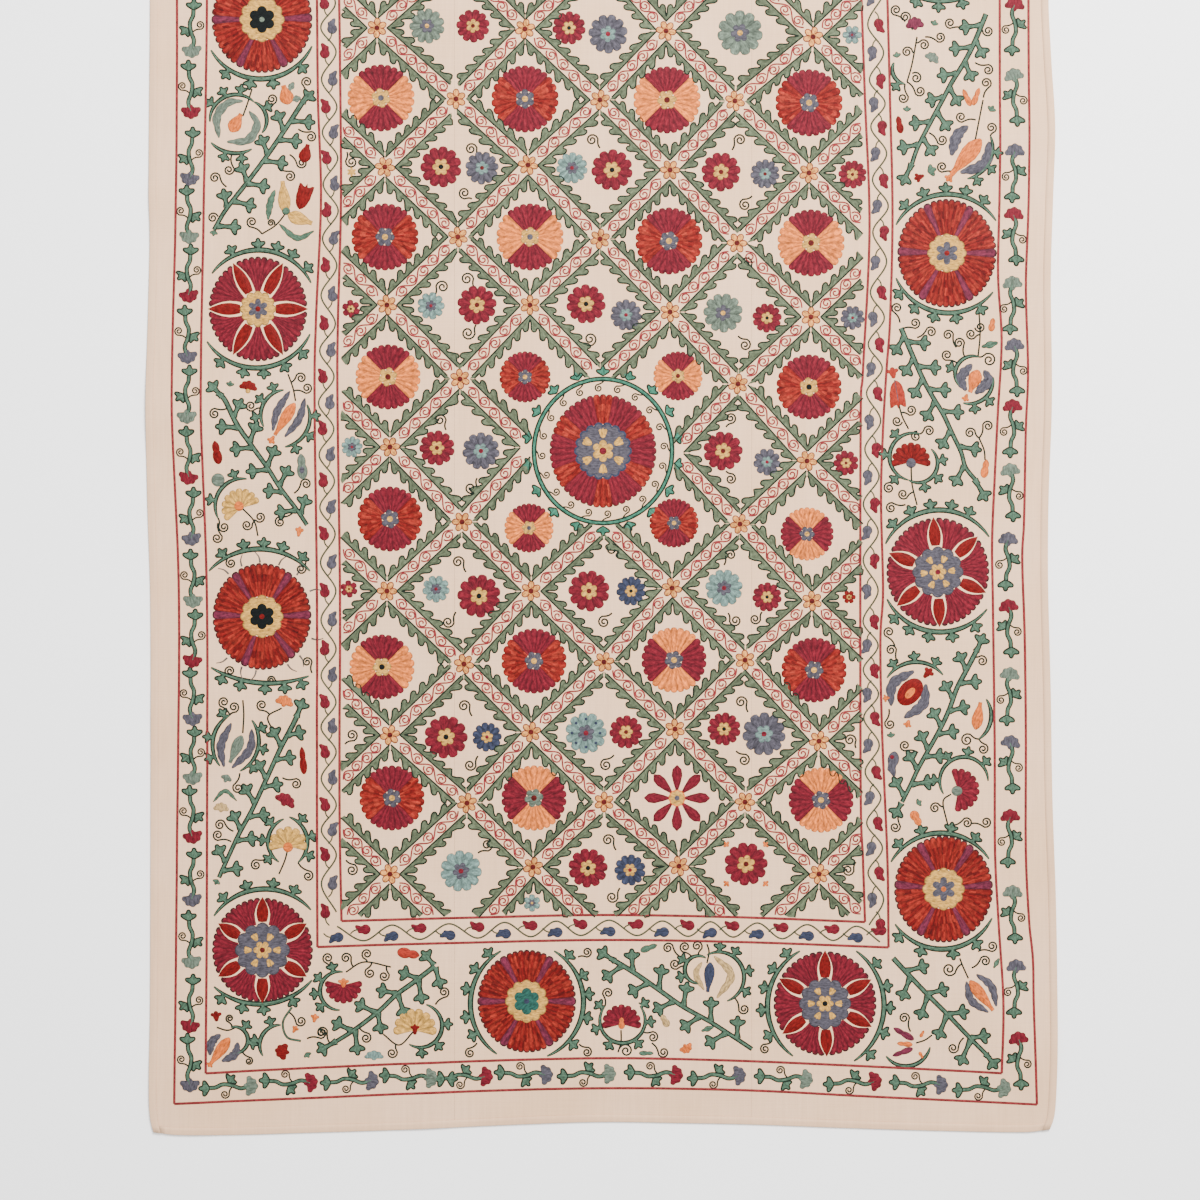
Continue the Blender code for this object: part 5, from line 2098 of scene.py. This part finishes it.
def sprig(piece, x, y, ahead, mirror, colour):
    """A flower on a bent stem with a leaf, a tendril and a three-lobed foot."""
    aside = np.array((-ahead[1], ahead[0])) * mirror

    def spot(offset):
        return np.array((x, y)) + ahead * offset[0] + aside * offset[1]

    stem = smooth_path([spot(offset) for offset in SPRIG_STEM])
    ribbon(piece, stem, SPRIG_STEM_HALF, SPRIG_STEM_HALF, LEAF, DARK, rim=1.4, height=NECK_HEIGHT)
    aim = math.degrees(math.atan2(-ahead[1], ahead[0]))
    blob(piece, *spot(SPRIG_FOOT), aim + 180, SPRIG_FOOT_SIZE, LEAF_HEAD, LEAF, DARK, steps=48)
    leaf = spot(SPRIG_LEAF)
    leaf_aim = heading(spot(SPRIG_LEAF_FROM), leaf)
    blob(piece, *leaf, leaf_aim, SPRIG_LEAF_SIZE, LEAF_HEAD, LEAF, DARK, steps=48)
    curl(piece, *spot(SPRIG_TENDRIL), 4.4, tuple(spot(SPRIG_TENDRIL_FROM)), 1.7, hand=mirror)
    blob(piece, *spot(SPRIG_FLOWER), aim + chance.uniform(-12, 12), SPRIG_FLOWER_SIZE, FLOWER, colour,
         darker(colour), rim=0.8, steps=48)


def sprig_side(piece, side):
    """The row of sprigs along one side of the outer band."""
    along = [row[0] for row in side.middle]
    level = [row[1] for row in side.middle]
    for number, s in enumerate(side.places):
        colour = SPRIG_COLOURS[(side.first + number) % len(SPRIG_COLOURS)]
        across = float(np.interp(s, along, level))
        mirror = 1 if number % 2 else -1
        if side.down:
            sprig(piece, across, s, np.array((0.0, float(side.ahead))), mirror, colour)
        else:
            sprig(piece, s, across, np.array((float(side.ahead), 0.0)), mirror, colour)


def make_sprigs(material):
    """The outer band's sprigs all round."""
    piece = Stitching("border_sprigs")
    for side in SPRIG_SIDES:
        sprig_side(piece, side)
    sprig_side(piece, END_SPRIGS)
    piece.turned = True
    sprig_side(piece, END_SPRIGS)
    return piece.finish(material)


# The vine of the inner band, one side of it at a time: the places of its red buds, the band's
# middle line, the side that the red buds stand on, whether it runs down the picture, and whether
# the buds point up. Blue buds stand between the red ones, on the other side.
Vine = namedtuple("Vine", "reds middle red_side down upward")

SIDE_VINES = (
    Vine(reds=(-48, 3, 52, 107, 158, 211, 266, 324, 377, 429, 481, 534, 591, 649, 702, 752, 805, 855, 912),
         middle=((-25, 327.5), (100, 329.3), (200, 331), (400, 326), (600, 328.5), (947, 329)),
         red_side=-1, down=True, upward=True),
    Vine(reds=(-30, 25, 80, 127, 180, 232, 292, 344, 393, 449, 504, 560, 621, 670, 718, 772, 823, 873, 925),
         middle=((0, 874.5), (100, 877.5), (215, 881), (370, 874.7), (500, 870.8), (640, 870.5), (730, 871.3),
                 (860, 875.3), (947, 877)),
         red_side=1, down=True, upward=False),
)
END_VINE = Vine(
    reds=(364, 420, 478, 531, 581, 637, 688, 733, 782, 833, 880),
    middle=((330, 934), (480, 930.5), (600, 927.5), (730, 929.5), (880, 934.5)),
    red_side=-1, down=False, upward=False)
SIDE_SPAN = (-30, 940)
END_SPAN = (330, 885)
FIRST_BLUE = 27
VINE_WIDTH = 1.9
VINE_SWING = 7.5
BUD_SIDE = 3.8
BUD_SIZE = 9.0
HOOK_WIDTH = 1.6


def vine_buds(vine):
    """The buds along one side: place, side and colour."""
    buds = []
    for first, second in zip(vine.reds[:-1], vine.reds[1:]):
        buds.append((first, vine.red_side, CRIMSON))
        buds.append(((first + second) / 2, -vine.red_side, BLUE))
    buds.append((vine.reds[-1], vine.red_side, CRIMSON))
    low, high = SIDE_SPAN if vine.down else END_SPAN
    buds = [row for row in buds if low < row[0] < high]
    if not vine.down:
        buds.insert(0, (vine.reds[0] - FIRST_BLUE, -vine.red_side, BLUE))
    return buds


def make_vine(piece, vine):
    """One side's waving vine with its buds."""
    along = [row[0] for row in vine.middle]
    level = [row[1] for row in vine.middle]
    back = 1 if vine.upward else -1
    knots = []
    for s, side, colour in vine_buds(vine):
        across = float(np.interp(s, along, level))
        knots.append((s, across - side * VINE_SWING))
        bud = (s, across + side * BUD_SIDE)
        hook = ((s + back * 13.5, across - side * 0.5), (s + back * 10, across + side * 2.5),
                (s + back * 5, across + side * BUD_SIDE))
        tone = NAVY if colour == BLUE and not vine.down else colour
        if vine.down:
            bud = bud[::-1]
            hook = tuple(point[::-1] for point in hook)
        line(piece, smooth_path(hook), HOOK_WIDTH, OLIVE)
        aim = (90 * back if vine.down else 180) + chance.uniform(-14, 14)
        blob(piece, *bud, aim, BUD_SIZE, COMMA, tone, darker(tone), rim=0.9, steps=48,
             hand=1 if (side < 0) == vine.upward else -1)
    path = smooth_path(knots)
    if vine.down:
        path = path[:, ::-1]
    line(piece, path, VINE_WIDTH, OLIVE)


def make_vines(material):
    """The inner band's vine all round."""
    piece = Stitching("border_vine")
    for vine in (*SIDE_VINES, END_VINE):
        make_vine(piece, vine)
    piece.turned = True
    make_vine(piece, END_VINE)
    return piece.finish(material)


# Stage.

FLOOR_SIZE = 14
FLOOR_HEIGHT = -0.0005
KEY_PLACE = (1.6, 2.8, 4.3)
KEY_SIZE = 2.5
KEY_POWER = 800
WORLD_STRENGTH = 1.35


def make_floor():
    """A plain pale floor under the cloth."""
    bpy.ops.mesh.primitive_plane_add(size=FLOOR_SIZE, location=(0, 0, FLOOR_HEIGHT))
    floor = bpy.context.object
    floor.name = "floor"
    floor.data.materials.append(floor_material())


def make_light(name, location, size, power):
    """A soft area light that looks at the middle of the cloth."""
    data = bpy.data.lights.new(name, "AREA")
    data.shape = "DISK"
    data.size = size
    data.energy = power
    lamp = bpy.data.objects.new(name, data)
    lamp.location = location
    aim = -lamp.location
    lamp.rotation_mode = "QUATERNION"
    lamp.rotation_quaternion = aim.to_track_quat("-Z", "Y")
    bpy.context.scene.collection.objects.link(lamp)


def make_world(strength):
    """An even white surround."""
    world = bpy.data.worlds.new("surround")
    world.use_nodes = True
    background = world.node_tree.nodes["Background"]
    background.inputs["Color"].default_value = (1, 1, 1, 1)
    background.inputs["Strength"].default_value = strength
    bpy.context.scene.world = world


# The middle and the width of the picture, in pixels, and the camera's lens and sensor in mm.
VIEW_CENTRE = (600.0, 600.0)
PICTURE_WIDTH = 1200
LENS = 85.0
SENSOR = 36.0


def make_camera():
    """A camera straight above the part of the cloth that the picture shows."""
    data = bpy.data.cameras.new("camera")
    data.lens = LENS
    data.sensor_width = SENSOR
    camera = bpy.data.objects.new("camera", data)
    x = (VIEW_CENTRE[0] - MIDDLE_X) * PIXEL
    y = (MIDDLE_Y - VIEW_CENTRE[1]) * PIXEL
    camera.location = (x, y, PICTURE_WIDTH * PIXEL * LENS / SENSOR + CLOTH_THICKNESS)
    bpy.context.scene.collection.objects.link(camera)
    bpy.context.scene.camera = camera


def main():
    """Build the looks, the stage and the camera."""
    cloth = cloth_material("handwoven_cloth", CLOTH, CLOTH_WARM)
    strip = cloth_material("folded_edge", STRIP, STRIP_WARM)
    silk = silk_material()
    make_panels(cloth)
    make_strips(strip)
    work = [make_band_lines(silk), *make_lattice(silk), *make_field(silk), make_border_flowers(silk)]
    work += [*make_sprays(silk), make_sprigs(silk), make_vines(silk)]
    make_floor()
    make_light("key", KEY_PLACE, KEY_SIZE, KEY_POWER)
    make_world(WORLD_STRENGTH)
    make_camera()


main()
